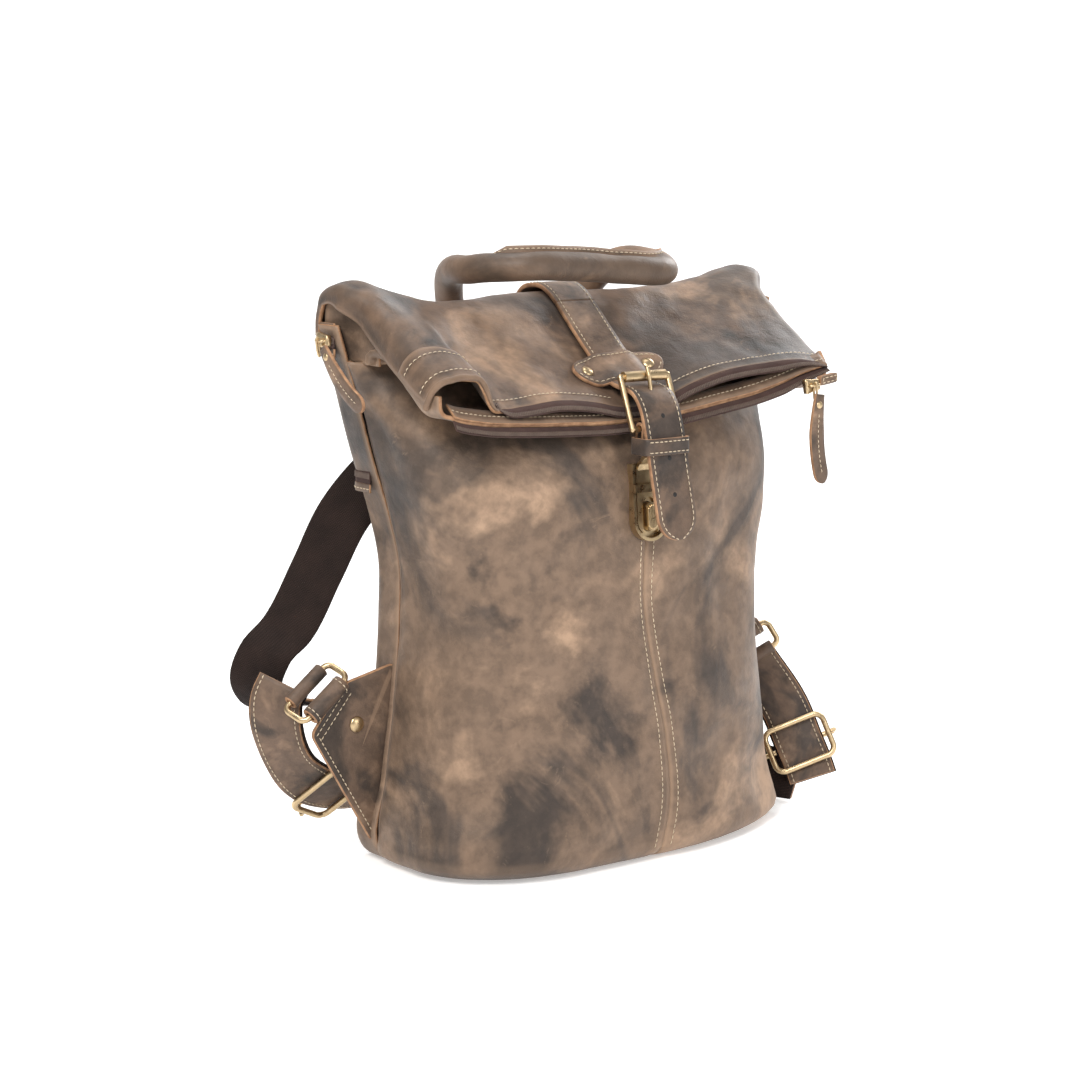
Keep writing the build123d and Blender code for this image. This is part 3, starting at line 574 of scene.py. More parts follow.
def make_pouch():
    t = np.unique(np.concatenate([np.linspace(0, 1, 181), 0.5 + np.array([-0.012, -0.006, 0.006, 0.012]),
                                  [0.006, 0.012, 0.018, 0.982, 0.988, 0.994]]))
    heights = np.concatenate([[0.0, 1.2, 3.2, 6.0, 9.5], np.linspace(14, 352, 150)])
    tuck = np.array([9.0, 4.0, 1.4, 0.3, 0.0])
    points, normal = front_surface(t, heights)
    for row, inward in enumerate(tuck):
        points[row] -= normal[row] * inward
    middle = int(np.argmin(abs(t - 0.5)))
    for name, part in (("front_left_leather", points[:, : middle + 1]),
                       ("front_right_leather", points[:, middle:])):
        piece = thicken(grid(name, part, [BODY, EDGE]), 3.0)
        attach(piece, "bag")
    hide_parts("front_left_panel")
    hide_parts("front_right_panel")
    rows = []
    top = int(np.searchsorted(heights, 232))
    for offset in (-0.0115, 0.0115):
        line = sample(points[4:top], t, 0.5 + offset)
        rows.append(stitches("centre_row", line, sample(normal[4:top], t, 0.5 + offset)))
    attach(joined("centre_seam_stitching", rows), "bag")

    u = np.linspace(0, 1, 90)
    back_heights = np.concatenate([[0.0, 1.2, 3.2, 6.0, 9.5], np.linspace(14, 376, 110)])
    back = []
    for z in back_heights:
        half = read(SIDE_HALF, z)[0] + 0.6
        corner = 10.0
        outline = []
        for v in u:
            if v < 0.16:
                outline.append((half, SEAM_Y + 0.1 + (BACK_Y - corner - SEAM_Y - 0.1) * v / 0.16))
            elif v < 0.24:
                a = (v - 0.16) / 0.08 * pi / 2
                outline.append((half - corner + corner * cos(a), BACK_Y - corner + corner * sin(a)))
            elif v < 0.76:
                outline.append((half - corner - (2 * half - 2 * corner) * (v - 0.24) / 0.52, BACK_Y))
            elif v < 0.84:
                a = (v - 0.76) / 0.08 * pi / 2
                outline.append((-half + corner - corner * sin(a), BACK_Y - corner + corner * cos(a)))
            else:
                outline.append((-half,
                                BACK_Y - corner - (BACK_Y - corner - SEAM_Y - 0.1) * (v - 0.84) / 0.16))
        back.append([(x, y, z) for x, y in outline])
    back = np.array(back)
    across = unit(np.gradient(back, axis=1))
    out = np.stack([across[..., 1], -across[..., 0], np.zeros(back.shape[:2])], axis=-1)
    wobble = noise_over(back, (70, 50, 90), (0, 0, 9))
    seam = np.exp(-((u / 0.012) ** 2)) + np.exp(-(((1 - u) / 0.012) ** 2))
    back = back + out * (wobble * 1.2 - 1.2 * seam[None, :])[..., None]
    for row, inward in enumerate(tuck):
        back[row] -= out[row] * inward
    piece = thicken(grid("back_leather", back, [BODY, EDGE]), 3.0)
    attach(piece, "bag")
    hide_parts("back_panel")
    return points, normal, back, out


def bag_bottom(points, back):
    """The bottom leather, a flat face inside the tucked lower edges."""
    outline = np.concatenate([points[0], back[0]])
    centre = outline.mean(axis=0)
    rings = [outline]
    for share in (0.985, 0.9, 0.6, 0.25):
        ring = centre + (outline - centre) * share
        ring[:, 2] = 0.0
        rings.append(ring)
    piece = grid("bottom_leather", np.array(rings), [BODY, EDGE], closed=True)
    cap_ends_inner(piece, len(outline))
    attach(piece, "bag")
    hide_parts("bottom_panel")


def cap_ends_inner(piece, count):
    data = bmesh.new()
    data.from_mesh(piece.data)
    data.verts.ensure_lookup_table()
    total = len(data.verts)
    data.faces.new([data.verts[total - count + i] for i in range(count)])
    data.to_mesh(piece.data)
    data.free()


# ---------------------------------------------------------------- the folded top
RIDGE = np.array([(-188, 399), (-175, 404.5), (-140, 397), (-106, 389), (-47, 391), (5, 392.5), (78, 390.5),
                  (101, 392),
                  (135, 398.5), (159, 404), (174, 405), (188, 399)], float)
UPPER_LIP = np.array([(-176, 340), (-165, 346), (-148, 347.5), (-136, 343), (-128, 327), (-118, 324.5),
                      (-103, 325),
                      (-70, 327), (-36, 323), (-20, 319.5), (0, 318.5), (18, 321.5), (43, 331), (71, 338.5),
                      (108, 342.5), (146, 343), (168, 338)], float)
LOWER_LIP = np.array([(-176, 322), (-164, 315), (-140, 309), (-108, 305.5), (-66, 303), (-30, 301.5),
                      (0, 302),
                      (33, 304.5), (67, 309.5), (104, 315.5), (128, 321.5), (142, 325.5), (168, 331)],
                     float)
LIP_STAND = 6.5  # how far the lower lip's leather stops short of its tape's edge
NECK_Z = 352.0


def read(table, x):
    return smooth_curve(table[:, 1], table[:, 0], np.atleast_1d(x))[:, 0]


def lip_y(x):
    """How far forward the mouth is."""
    return -46.0 - 8.0 * (abs(x) / 170.0) ** 1.3


def top_profile(x):
    """Points of the outer layer in (y, z), from the back panel over the ridge to the upper lip."""
    ridge, lip = read(RIDGE, x)[0], read(UPPER_LIP, x)[0]
    y = lip_y(x)
    front = (33.0, ridge - 5.6)
    sag = -3.5 * (1 - min(1.0, abs(x) / 120.0) ** 2)
    middle = [(front[0] + (y - front[0]) * s, front[1] + (lip - front[1]) * s + sag * sin(pi * s))
              for s in (0.3, 0.6, 0.85)]
    return [(BACK_Y + 0.6, 368.0), (BACK_Y + 0.7, ridge - 17), (BACK_Y - 3.5, ridge - 6.0),
            (62.0, ridge - 1.0),
            (48.0, ridge), front, *middle, (y, lip)]


def under_profile(x):
    """Points of the inner layer in (y, z), from the neck's front edge to the lower lip."""
    lip = read(LOWER_LIP, x)[0] + LIP_STAND
    lift = 8.0 * min(1.0, abs(x) / 170.0)
    return [(25.0, NECK_Z - 1), (24.0, 355.5), (18.0, 353.0 + lift * 0.3), (-16.0, 326.0 + lift),
            (-34.0, 315.5 + lift * 0.8),
            (lip_y(x) - 1.0, lip)]


def lattice(profile, rows, reach=190.0, columns=140):
    xs = np.linspace(-reach, reach, columns)
    lines = [spline(profile(x), rows) for x in xs]
    return xs, np.array(lines).transpose(1, 0, 2)


def row_points(xs, row, wanted):
    return np.stack([wanted, np.interp(wanted, xs, row[:, 0]), np.interp(wanted, xs, row[:, 1])], axis=1)


def profile_normals(table):
    """Normals in (y, z) of lattice rows: to the left of the way the profile runs."""
    run = np.gradient(table, axis=0)
    run = run / np.maximum(np.linalg.norm(run, axis=2, keepdims=True), 1e-9)
    return np.stack([run[..., 1], -run[..., 0]], axis=2)


def wrapped_sheet(table, xs, half_left, half_right, round_left, round_right, side, drop_left, drop_right,
                  columns=150):
    """A sheet whose left and right edges roll over: side is +1 to roll below the sheet, -1 to roll above it."""
    normals = profile_normals(table)
    rows = []
    for number, row in enumerate(table):
        rl, rr = round_left[number], round_right[number]
        wanted = np.linspace(-(half_left[number] - rl), half_right[number] - rr, columns)
        flat = row_points(xs, row, wanted)
        ends = []
        for x, radius, drop, sign in ((wanted[0], rl, drop_left[number], -1),
                                      (wanted[-1], rr, drop_right[number], 1)):
            point = row_points(xs, row, np.array([x]))[0]
            n = np.array([0.0, *[np.interp(x, xs, normals[number][:, a]) for a in (0, 1)]]) * side
            centre = point - n * radius
            arc = [centre + radius * (n * cos(a) + np.array([sign, 0, 0]) * sin(a))
                   for a in np.linspace(0.18, pi / 2, 9)]
            arc += [arc[-1] - n * drop * s for s in (0.34, 0.67, 1.0)]
            ends.append(arc)
        rows.append(np.concatenate([np.array(ends[0])[::-1], flat, np.array(ends[1])]))
    return np.array(rows)


def surface_normals(points):
    down = np.gradient(points, axis=0)
    across = np.gradient(points, axis=1)
    return unit(np.cross(across, down))


def make_folded_top():
    rows = 70
    xs, table = lattice(top_profile, rows)
    share = np.linspace(0, 1, rows)
    past = np.clip((share - 0.34) / 0.16, 0, 1)
    past = past * past * (3 - 2 * past)
    half_left = 187.0 - 9.0 * past - 3.0 * share
    half_right = 186.0 - 14.0 * past - 5.0 * np.clip(share - 0.5, 0, 1)
    rows_under = 46
    xs_under, under_table = lattice(under_profile, rows_under)
    gaps = {side: end_gaps(xs, table, xs_under, under_table, side * 172) for side in (-1, 1)}
    radii = {side: np.clip(0.46 * gap, 5.0, 13.0) for side, gap in gaps.items()}
    drops = {side: np.maximum(0.95 * gap - 1.3 * radii[side], 2.0) for side, gap in gaps.items()}
    top = wrapped_sheet(table, xs, half_left, half_right, radii[-1], radii[1], 1, drops[-1], drops[1])
    normal = upward(top)
    soft = np.clip(share / 0.1, 0, 1)[:, None] * np.clip((1 - share) / 0.08, 0.35, 1)[:, None]
    wave = noise_over(top, (48, 40, 40), (3, 0, 0))
    fine = noise_over(top, (15, 13, 13), (0, 5, 0))
    strap_bed = 1 - np.exp(-((top[..., 0] / 26.0) ** 4))
    top = top + normal * ((2.4 * wave + 0.6 * fine) * soft * strap_bed)[..., None]
    normal = upward(top)
    piece = thicken(grid("folded_top_leather", top[:, ::-1], [TOP, EDGE]), 2.8)
    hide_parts("top_fold", "flap_outer_panel")
    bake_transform(piece)

    share_under = np.linspace(0, 1, rows_under)
    ends = []
    for side, half in ((-1, half_left), (1, half_right)):
        row = row_ends(xs, table, side * 172)
        under_row = row_ends(xs_under, under_table, side * 172)
        ends.append(np.interp(-under_row[:, 0], -row[:, 0], half) - 1.6)
    back_gaps = [end_gaps(xs_under, under_table, xs, table, side * 172, up=True) for side in (-1, 1)]
    back_radii = [np.clip(0.34 * gap, 2.5, 9.0) for gap in back_gaps]
    rise = np.clip(share_under / 0.35, 0, 1)
    back_radii = [2.0 + (radius - 2.0) * rise for radius in back_radii]
    under = wrapped_sheet(under_table, xs_under, ends[0], ends[1], *back_radii, -1,
                          *(0.25 * gap * rise for gap in back_gaps))
    wave = np.array([[noise.noise(Vector((p[0] / 40, p[1] / 40, 2))) for p in row] for row in under])
    under[..., 2] += 1.2 * wave * np.clip(share_under * 4, 0, 1)[:, None]
    piece = thicken(grid("folded_under_leather", under, [BODY, EDGE]), 2.6)
    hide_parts("flap_inner_panel")
    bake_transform(piece)
    make_hem(top, normal)
    make_fold_gussets()


def upward(points):
    """Surface normals, turned to point up and out of the folded top."""
    normal = surface_normals(points)
    return -normal if normal[len(points) // 2, 75][2] < 0 else normal


def row_ends(xs, table, x):
    return np.array([[np.interp(x, xs, row[:, a]) for a in (0, 1)] for row in table])


def end_gaps(xs, table, other_xs, other_table, x, up=False):
    """How far it is, at one end of the fold, from each row of one layer to the other layer."""
    rows, other = row_ends(xs, table, x), row_ends(other_xs, other_table, x)
    run = unit(np.gradient(rows, axis=0))
    way = np.stack([run[:, 1], -run[:, 0]], axis=1) * (1 if up else -1)
    gaps = []
    for point, direction in zip(rows, way):
        hits = []
        for a, b in zip(other[:-1], other[1:]):
            edge = b - a
            cross = direction[0] * edge[1] - direction[1] * edge[0]
            if abs(cross) < 1e-9:
                continue
            reach = ((a[0] - point[0]) * edge[1] - (a[1] - point[1]) * edge[0]) / cross
            share = ((a[0] - point[0]) * direction[1] - (a[1] - point[1]) * direction[0]) / cross
            if reach > 0 and -0.02 <= share <= 1.02:
                hits.append(reach)
        near = np.linalg.norm(other - point, axis=1).min()
        gaps.append(min(hits) if hits else min(near, 24.0 if point[0] < 50 else 8.0))
    for _ in range(3):
        padded = np.concatenate([[gaps[0]] * 6, gaps, [gaps[-1]] * 6])
        gaps = np.convolve(padded, np.ones(13) / 13, mode="valid")
    return gaps


def make_fold_gussets():
    """The folded-in sides of the bag under each end of the ridge."""
    for name, side in (("left", -1), ("right", 1)):
        rows = []
        for s in np.linspace(0, 1, 14):
            front = np.array([side * (168 + 4 * s), 22.0 - 4.0 * s, 350.0 + 33.0 * s])
            rear = np.array([side * (181 + 1 * s), 71.0 - 6.0 * s, 352.0 + 42.0 * s])
            line = [front + (rear - front) * t
                    - np.array([side * 5.0 * sin(pi * t) * (0.4 + 0.6 * s), 0, 0])
                    for t in np.linspace(0, 1, 16)]
            rows.append(line)
        rows = np.array(rows) if side > 0 else np.array(rows)[:, ::-1]
        piece = thicken(grid(f"fold_gusset_{name}", rows, [BODY, EDGE]), 2.0, offset=0.0)
        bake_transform(piece)


def make_hem(top, normal):
    """The bound edge of the mouth's left end, its rolled lip, and the stitching along the upper lip."""
    columns = slice(1, 28)
    band = top[-15:, columns] + normal[-15:, columns] * 1.5
    piece = thicken(grid("mouth_hem_leather", band[:, ::-1], [TOP, EDGE]), 1.6)
    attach(piece, "flap")
    lip = spline(top[-1, 0:31] + normal[-1, 0:31] * 0.2, 70)
    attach(tube("mouth_rolled_lip", lip, np.interp(np.arange(70), [0, 52, 69], [2.3, 2.1, 0.7]), TOP,
                 sides=14), "flap")
    rows = [stitches("row", top[row, columns][1:-1] + normal[row, columns][1:-1] * 2.0,
                     normal[row, columns][1:-1])
            for row in (-4, -12)]
    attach(joined("mouth_hem_stitching", rows), "flap")
    inside = [c for c in range(top.shape[1]) if -128 < top[-1, c][0] < 162 and abs(top[-1, c][0]) > 19]
    rows = []
    for part in ([c for c in inside if top[-1, c][0] < 0], [c for c in inside if top[-1, c][0] > 0]):
        rows.append(stitches("row", top[-5, part] + normal[-5, part] * 0.5, normal[-5, part]))
    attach(joined("upper_lip_stitching", rows), "flap")


def lip_line(table, xs, dy, dz):
    """Points along one lip, moved by dy and dz."""
    return np.array([(x, lip_y(x) + dy, read(table, x)[0] + dz) for x in xs])


def ribbon(name, line_a, line_b, thickness, material, rim=0):
    """A strip of cloth or leather between two lines."""
    rows = np.array([line_a + (line_b - line_a) * s for s in np.linspace(0, 1, 4)])
    return thicken(grid(name, rows, [material, EDGE]), thickness, rim=rim, offset=0.0)


def teeth(name, line, side, normals, pitch=1.45, length=3.0, width=0.95, height=1.1):
    """The coil of a zip: short rounded bars laid across a line."""
    run = distances(line)
    spots = np.arange(pitch / 2, run[-1], pitch)
    at = at_distances(line, run, spots)
    sides = unit(at_distances(side, run, spots))
    ups = unit(at_distances(normals, run, spots))
    points, faces = [], []
    ring = 6
    for p, s, n in zip(at, sides, ups):
        d = unit(np.cross(s, n))
        first = len(points)
        for share in (-1.0, -0.8, 0.8, 1.0):
            swell = 0.55 if abs(share) == 1.0 else 1.0
            for j in range(ring):
                a = 2 * pi * j / ring
                points.append(p + s * share * length / 2
                              + swell * (d * cos(a) * width / 2 + n * sin(a) * height / 2))
        faces += ring_faces(first, 4, ring)
    return object_from(name, points, faces, [COIL])


def make_mouth():
    """Tapes, coils and stitching of the open mouth, and the leather facing along its lower lip."""
    left, right = -127.0, 164.0
    xs = np.linspace(left, right, 150)
    stretch = np.clip((right - xs) / 40, 0, 1)
    upper_edge = lip_line(UPPER_LIP, xs, 0.6, 0.6)
    upper_out = upper_edge + np.stack([0 * xs, -3.5 + 0 * xs, -5.5 * stretch - 1.5], axis=1)
    curl = np.exp(-((xs - left) / 7.0))[:, None]
    upper_out = upper_out + curl * np.array([4.0, 6.0, 10.0])
    tape = ribbon("mouth_upper_tape", upper_edge, upper_out, 0.9, TAPE)
    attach(tape, "flap")
    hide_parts("mouth_zip_upper_tape")
    facing = np.tile([0.0, -0.85, 0.5], (len(xs), 1))
    side = unit(upper_out - upper_edge)
    place = upper_edge + (upper_out - upper_edge) * 0.72 + unit(facing) * 0.9
    coil = teeth("mouth_upper_coil", place, side, facing)
    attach(coil, "flap")

    xs = np.linspace(-162, right, 160)
    stretch = np.clip((right - xs) / 40, 0, 1)
    edge = lip_line(LOWER_LIP, xs, -1.0, LIP_STAND)
    low_out = edge + np.stack([0 * xs, -4.0 + 0 * xs, -5.0 * stretch - 1.0], axis=1)
    tape = ribbon("mouth_lower_tape", edge + np.array([0, 1.5, 1.6]), low_out, 0.9, TAPE)
    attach(tape, "flap")
    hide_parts("mouth_zip_lower_tape")
    facing = np.tile([0.0, -0.7, 0.7], (len(xs), 1))
    place = edge + (low_out - edge) * 0.66 + unit(np.tile([0.0, -0.9, 0.3], (len(xs), 1))) * 1.1
    coil = teeth("mouth_lower_coil", place, unit(low_out - edge), facing)
    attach(coil, "flap")
    band_in = edge + np.array([0, 9.0, 9.0 * 0.86])
    band = ribbon("mouth_facing", band_in + np.array([0, -0.4, 2.2]), edge + np.array([0, -1.2, 2.6]), 1.8,
                  STRAP, rim=1)
    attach(band, "flap")
    row = stitches("mouth_facing_stitching", edge + np.array([0, 3.2, 7.0]),
                   np.tile([0.0, -0.62, 0.78], (len(xs), 1)))
    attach(row, "flap")


def lip_offset(x, back):
    """A point on the outer layer a little way back from the upper lip, as (y, z)."""
    line = spline(top_profile(x), 60)
    run = distances(line)
    want = run[-1] - back
    return np.interp(want, run, line[:, 0]), np.interp(want, run, line[:, 1])


# ---------------------------------------------------------------- straps of leather and webbing
def sweep_strap(name, line, normals, width, thickness, materials, closed=False, crown=0.25):
    """A strap with slightly rounded cut edges. width may be one number or one for each point of the line."""
    line = np.asarray(line, float)
    direction = along(line) if not closed else unit(np.roll(line, -1, axis=0) - np.roll(line, 1, axis=0))
    normals = np.asarray(normals, float)
    normals = unit(normals - direction * np.sum(normals * direction, axis=1)[:, None])
    side = np.cross(direction, normals)
    widths = np.full(len(line), float(width)) if np.isscalar(width) else np.asarray(width, float)
    half = thickness / 2
    section = [(-1, -0.55), (-1, 0.55), (-0.94, 1.0)]
    section += [(s, 1.0 + crown * (1 - s * s)) for s in (-0.6, -0.2, 0.2, 0.6)]
    section += [(0.94, 1.0), (1, 0.55), (1, -0.55), (0.94, -1.0), (0.3, -1.0), (-0.3, -1.0), (-0.94, -1.0)]
    cut = {0, 1, 7, 8, 9, 13}
    count = len(section)
    points = []
    for p, s, n, w in zip(line, side, normals, widths):
        inset = min(0.5, w * 0.02)
        for share, up in section:
            reach = share * w / 2 if abs(share) == 1 else share * (w / 2 + inset)
            points.append(p + s * reach + n * (up * half))
    faces, kinds = [], []
    stations = len(line)
    for r in range(stations if closed else stations - 1):
        for c in range(count):
            d, q = (c + 1) % count, (r + 1) % stations
            faces.append((r * count + c, q * count + c, q * count + d, r * count + d))
            kinds.append(1 if c in cut else 0)
    if not closed:
        faces.append(tuple(range(count)))
        faces.append(tuple((stations - 1) * count + i for i in reversed(range(count))))
        kinds += [1, 1]
    piece = object_from(name, points, faces, materials)
    for face, kind in zip(piece.data.polygons, kinds):
        face.material_index = min(kind, len(materials) - 1)
    return piece, side, normals


def edge_rows(name, line, side, normals, width, thickness, inset=3.4, lift=0.0):
    """Stitching along both edges of a strap."""
    widths = np.full(len(line), float(width)) if np.isscalar(width) else np.asarray(width, float)
    rows = []
    for sign in (-1, 1):
        path = line + side * (sign * (widths / 2 - inset))[:,
                                                           None] + normals * (thickness / 2 + 0.15 + lift)
        rows.append(stitches(name, path, normals))
    return rows


STRAP_WIDTH = 34.0
STRAP_THICK = 3.2
SWING_PIVOT = (-32.2, 336.3)


def yz(points, x=0.0):
    return np.array([(x, y, z) for y, z in points], float)


def outward(line):
    """Normals of a line in the plane across the bag: to the left of the way it runs, seen from -X."""
    run = along(line)
    return np.stack([0 * run[:, 0], run[:, 2], -run[:, 1]], axis=1)


def make_closing_strap():
    over = yz([(77.6, 366), (77.9, 378), (75.3, 387.5), (67.5, 394.6), (58.0, 396.6), (48.0, 396.6),
               (36.5, 391.8), (28.0, 385.5)])
    line = spline(over, 40)
    piece, side, normal = sweep_strap("closing_strap_over_ridge", line, outward(line), STRAP_WIDTH,
                                      STRAP_THICK, [STRAP, EDGE])
    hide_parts("closing_strap_back")
    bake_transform(piece)
    rows = joined("closing_strap_ridge_stitching",
                  edge_rows("row", line, side, normal, STRAP_WIDTH, STRAP_THICK))
    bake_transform(rows)

    line = spline(yz([(29.0, 386.2), (10, 369.3), (-8.0, 353.8), (-20, 344.6), (-30.0, 337.9)]), 30)
    piece, side, normal = sweep_strap("closing_strap_on_top", line, outward(line), STRAP_WIDTH, STRAP_THICK,
                                      [STRAP, EDGE])
    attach(piece, "flap")
    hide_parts("closing_strap_front")
    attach(joined("closing_strap_top_stitching",
                   edge_rows("row", line, side, normal, STRAP_WIDTH, STRAP_THICK)), "flap")

    hanging = [(-30.5, 337.6), SWING_PIVOT, (-40, 333.6), (-48, 332.6), (-58, 329.8), (-66, 321.5),
               (-70.8, 309), (-73.6, 296),
               (-76.6, 279), (-79.5, 263), (-82.3, 246), (-84.5, 231)]
    line = spline(yz(hanging), 70)
    fall = np.clip((325 - line[:, 2]) / 95, 0, 1)
    line[:, 0] += 5.0 * fall ** 1.5
    run = distances(line)
    to_tip = np.clip(run[-1] - run, 0, STRAP_WIDTH / 2)
    widths = STRAP_WIDTH * np.sqrt(np.clip(1 - (1 - to_tip / (STRAP_WIDTH / 2)) ** 2, 0.02, 1))
    piece, side, normal = sweep_strap("closing_strap_tail_leather", line, outward(line), widths,
                                      STRAP_THICK, [STRAP, EDGE])
    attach(piece, "strap_tail")
    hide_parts("closing_strap_tail")
    rows = edge_rows("row", line[8:], side[8:], normal[8:], np.maximum(widths, 9)[8:], STRAP_THICK,
                     inset=3.2)
    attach(joined("closing_strap_tail_stitching", rows), "strap_tail")
    # The holes are not cut: each one is a thin disc painted near-black, painted shade standing in for the hole's
    # depth.
    holes = []
    for z in (315.0, 286.0, 262.0):
        at = int(np.argmin(abs(line[:, 2] - z)))
        holes.append(button("hole", line[at] + normal[at] * (STRAP_THICK / 2 + 0.35), normal[at], 1.7, 0.25,
                            HOLE_SHADE, HOLE, 20))
    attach(joined("closing_strap_holes", holes), "strap_tail")


HOLE = ((1.0, 0.0), (0.92, 0.7), (0.6, 1.0),
        (0.02, 1.0))  # each ring's share of the radius and of the height
DOME = ((1.0, -0.2), (1.03, 0.12), (1.0, 0.28), (0.9, 0.48), (0.72, 0.72), (0.48, 0.9), (0.24, 0.98),
        (0.02, 1.0))


def button(name, centre, normal, radius, height, material, profile=DOME, sides=28):
    """A low round piece on a surface: a rivet's domed head, or a thin disc painted near-black as the shade inside a
    punched hole.
    """
    normal = unit(normal)
    side = unit(np.cross(normal, [0.3, 0.9, 0.2]))
    rim = circle(side, np.cross(normal, side), sides)
    rings = [np.asarray(centre) + radius * share * rim + normal * up * height for share, up in profile]
    piece = grid(name, np.array(rings), [material], closed=True)
    cap_ends(piece)
    return piece


def make_wing_patch():
    """The riveted leather bridge that the closing strap runs under, with its stitched border."""
    xs = np.linspace(-38.5, 38.5, 61)
    share = xs / 38.5
    half = 14.5 * np.sqrt(np.clip(1 - np.clip(abs(share) - 0.42, 0, 1) ** 1.7 / 0.58 ** 1.7, 0.01, 1))
    half = np.minimum(half, 15.0)
    hump = 5.6 * np.exp(-((xs / 19.5) ** 6))
    line, normals = [], []
    for x in xs:
        y, z = lip_offset(x, 33.0)
        line.append((x, y, z))
        normals.append((0, -0.6, 0.8))
    line = np.array(line)
    line[:, 1] = np.interp(xs, [-38.5, 0, 38.5], [line[0, 1], line[30, 1], line[-1, 1]])
    line[:, 2] = np.polyval(np.polyfit(xs, line[:, 2], 3), xs)
    normal = unit(normals)
    line = line + normal * (2.1 + hump)[:, None]
    piece, side, normal = sweep_strap("wing_patch_leather", line, normal, half * 2, 2.6, [STRAP, EDGE],
                                      crown=0.1)
    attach(piece, "flap")
    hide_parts("wing_patch")
    rows = edge_rows("row", line[2:-2], side[2:-2], normal[2:-2], half[2:-2] * 2, 2.6, inset=3.0)
    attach(joined("wing_patch_stitching", rows), "flap")
    rivets = []
    for x in (-27.5, 27.5):
        at = int(np.argmin(abs(xs - x)))
        rivets.append(button("rivet", line[at] + normal[at] * 1.4, normal[at], 4.4, 1.9, BRASS))
    rivets = joined("wing_patch_rivet_heads", rivets)
    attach(rivets, "flap")
    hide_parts("wing_patch_rivets")


def make_buckle_leather():
    """The folded chape on the buckle's lower bar and the keeper loop round both layers."""
    bar = np.array([-64.0, 306.0])
    angles = np.linspace(-0.15 * pi, 1.12 * pi, 16)
    path = [(-61.3, 289.8), (-60.6, 296.0)]
    path += [(bar[0] + 3.7 * cos(a), bar[1] + 3.7 * sin(a)) for a in angles]
    path += [(-67.0, 296.0), (-66.0, 289.8)]
    line = spline(yz(path), 60)
    piece, _, _ = sweep_strap("buckle_chape_leather", line, -outward(line), 30.0, 2.2, [STRAP, EDGE],
                              crown=0.0)
    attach(piece, "strap_tail")
    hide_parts("buckle_chape")
    corner = 3.0
    half_x, y_front, y_back = 18.3, -77.8, -59.6
    outline = []
    for cx, cy, start in ((half_x - corner, y_front + corner, -pi / 2),
                          (half_x - corner, y_back - corner, 0),
                          (corner - half_x, y_back - corner, pi / 2),
                          (corner - half_x, y_front + corner, pi)):
        outline += [(cx + corner * cos(start + a), cy + corner * sin(start + a))
                    for a in np.linspace(0, pi / 2, 7)]
    outline = np.array([(x, y, 294.8) for x, y in outline])
    middle = outline.mean(axis=0)
    dense = spline(np.concatenate([outline, outline[:1]]), 81)[:-1]
    out = dense - middle
    out[:, 2] = 0
    piece, _, _ = sweep_strap("keeper_leather", dense, out, 11.5, 1.8, [STRAP, EDGE], closed=True,
                              crown=0.0)
    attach(piece, "strap_tail")
    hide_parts("keeper_loop")
    front = np.array([p for p in dense if p[1] < y_front + 1.5])
    front = front[np.argsort(front[:, 0])]
    rows = [stitches("row", front + np.array([0, -1.0, dz]), np.tile([0, -1.0, 0], (len(front), 1)))
            for dz in (-3.6, 3.6)]
    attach(joined("keeper_stitching", rows), "strap_tail")


# ---------------------------------------------------------------- handle, side tabs, rings' leather and straps
def flat_piece(name, outline, normal, thickness, materials):
    """A cut piece of leather with a flat face; outline runs round its middle plane."""
    outline, normal = np.asarray(outline, float), unit(normal)
    count = len(outline)
    centre = outline.mean(axis=0)
    rings = []
    for share, up in ((0.0, -0.5), (0.9, -0.5), (1.0, -0.36), (1.0, 0.30), (0.985, 0.5), (0.9, 0.56),
                      (0.0, 0.60)):
        rings.append(centre + (outline - centre) * max(share, 0.002) + normal * thickness * up)
    piece = grid(name, np.array(rings), materials, closed=True)
    for face in piece.data.polygons:
        row = face.index // count
        face.material_index = 1 if row in (2, 3) else 0
    cap_ends(piece)
    return piece


def rounded(points, radius, steps=7):
    """A closed outline with its corners rounded."""
    points = np.asarray(points, float)
    out = []
    for before, here, after in zip(np.roll(points, 1, axis=0), points, np.roll(points, -1, axis=0)):
        a, b = here + unit(before - here) * radius, here + unit(after - here) * radius
        out += [(1 - s) ** 2 * a + 2 * s * (1 - s) * here + s * s * b for s in np.linspace(0, 1, steps)]
    out = np.array(out + [out[0]])
    run = distances(out)
    wanted = np.linspace(0, run[-1], 121)[:-1]
    return at_distances(out, run, wanted)


def inset_line(outline, normal, amount):
    """The outline moved inwards, for the stitching round a piece."""
    outline = np.asarray(outline, float)
    tangent = unit(np.roll(outline, -1, axis=0) - np.roll(outline, 1, axis=0))
    inward = np.cross(np.tile(unit(normal), (len(outline), 1)), tangent)
    if np.sum((outline.mean(axis=0) - outline[0]) * inward[0]) < 0:
        inward = -inward
    line = outline + inward * amount
    return np.concatenate([line, line[:1]])


def patch(name, outline, normal, thickness, node, body, inset=3.6):
    """A flat piece of leather with stitching all round."""
    piece = flat_piece(name + "_leather", outline, normal, thickness, [STRAP, EDGE])
    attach(piece, body)
    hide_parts(node)
    line = inset_line(outline, normal, inset) + unit(normal) * thickness * 0.62
    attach(stitches(name + "_stitching", line, np.tile(unit(normal), (len(line), 1))), body)


HANDLE_PATH = np.array([(-58, 88.5, 349), (-64, 90, 384), (-74, 75, 405), (-80, 38, 411), (-62, 9, 414),
                        (0, 4, 411), (64, 8, 407), (77, 36, 411), (67, 74, 408), (57, 91, 386),
                        (54, 88.5, 349)], float)


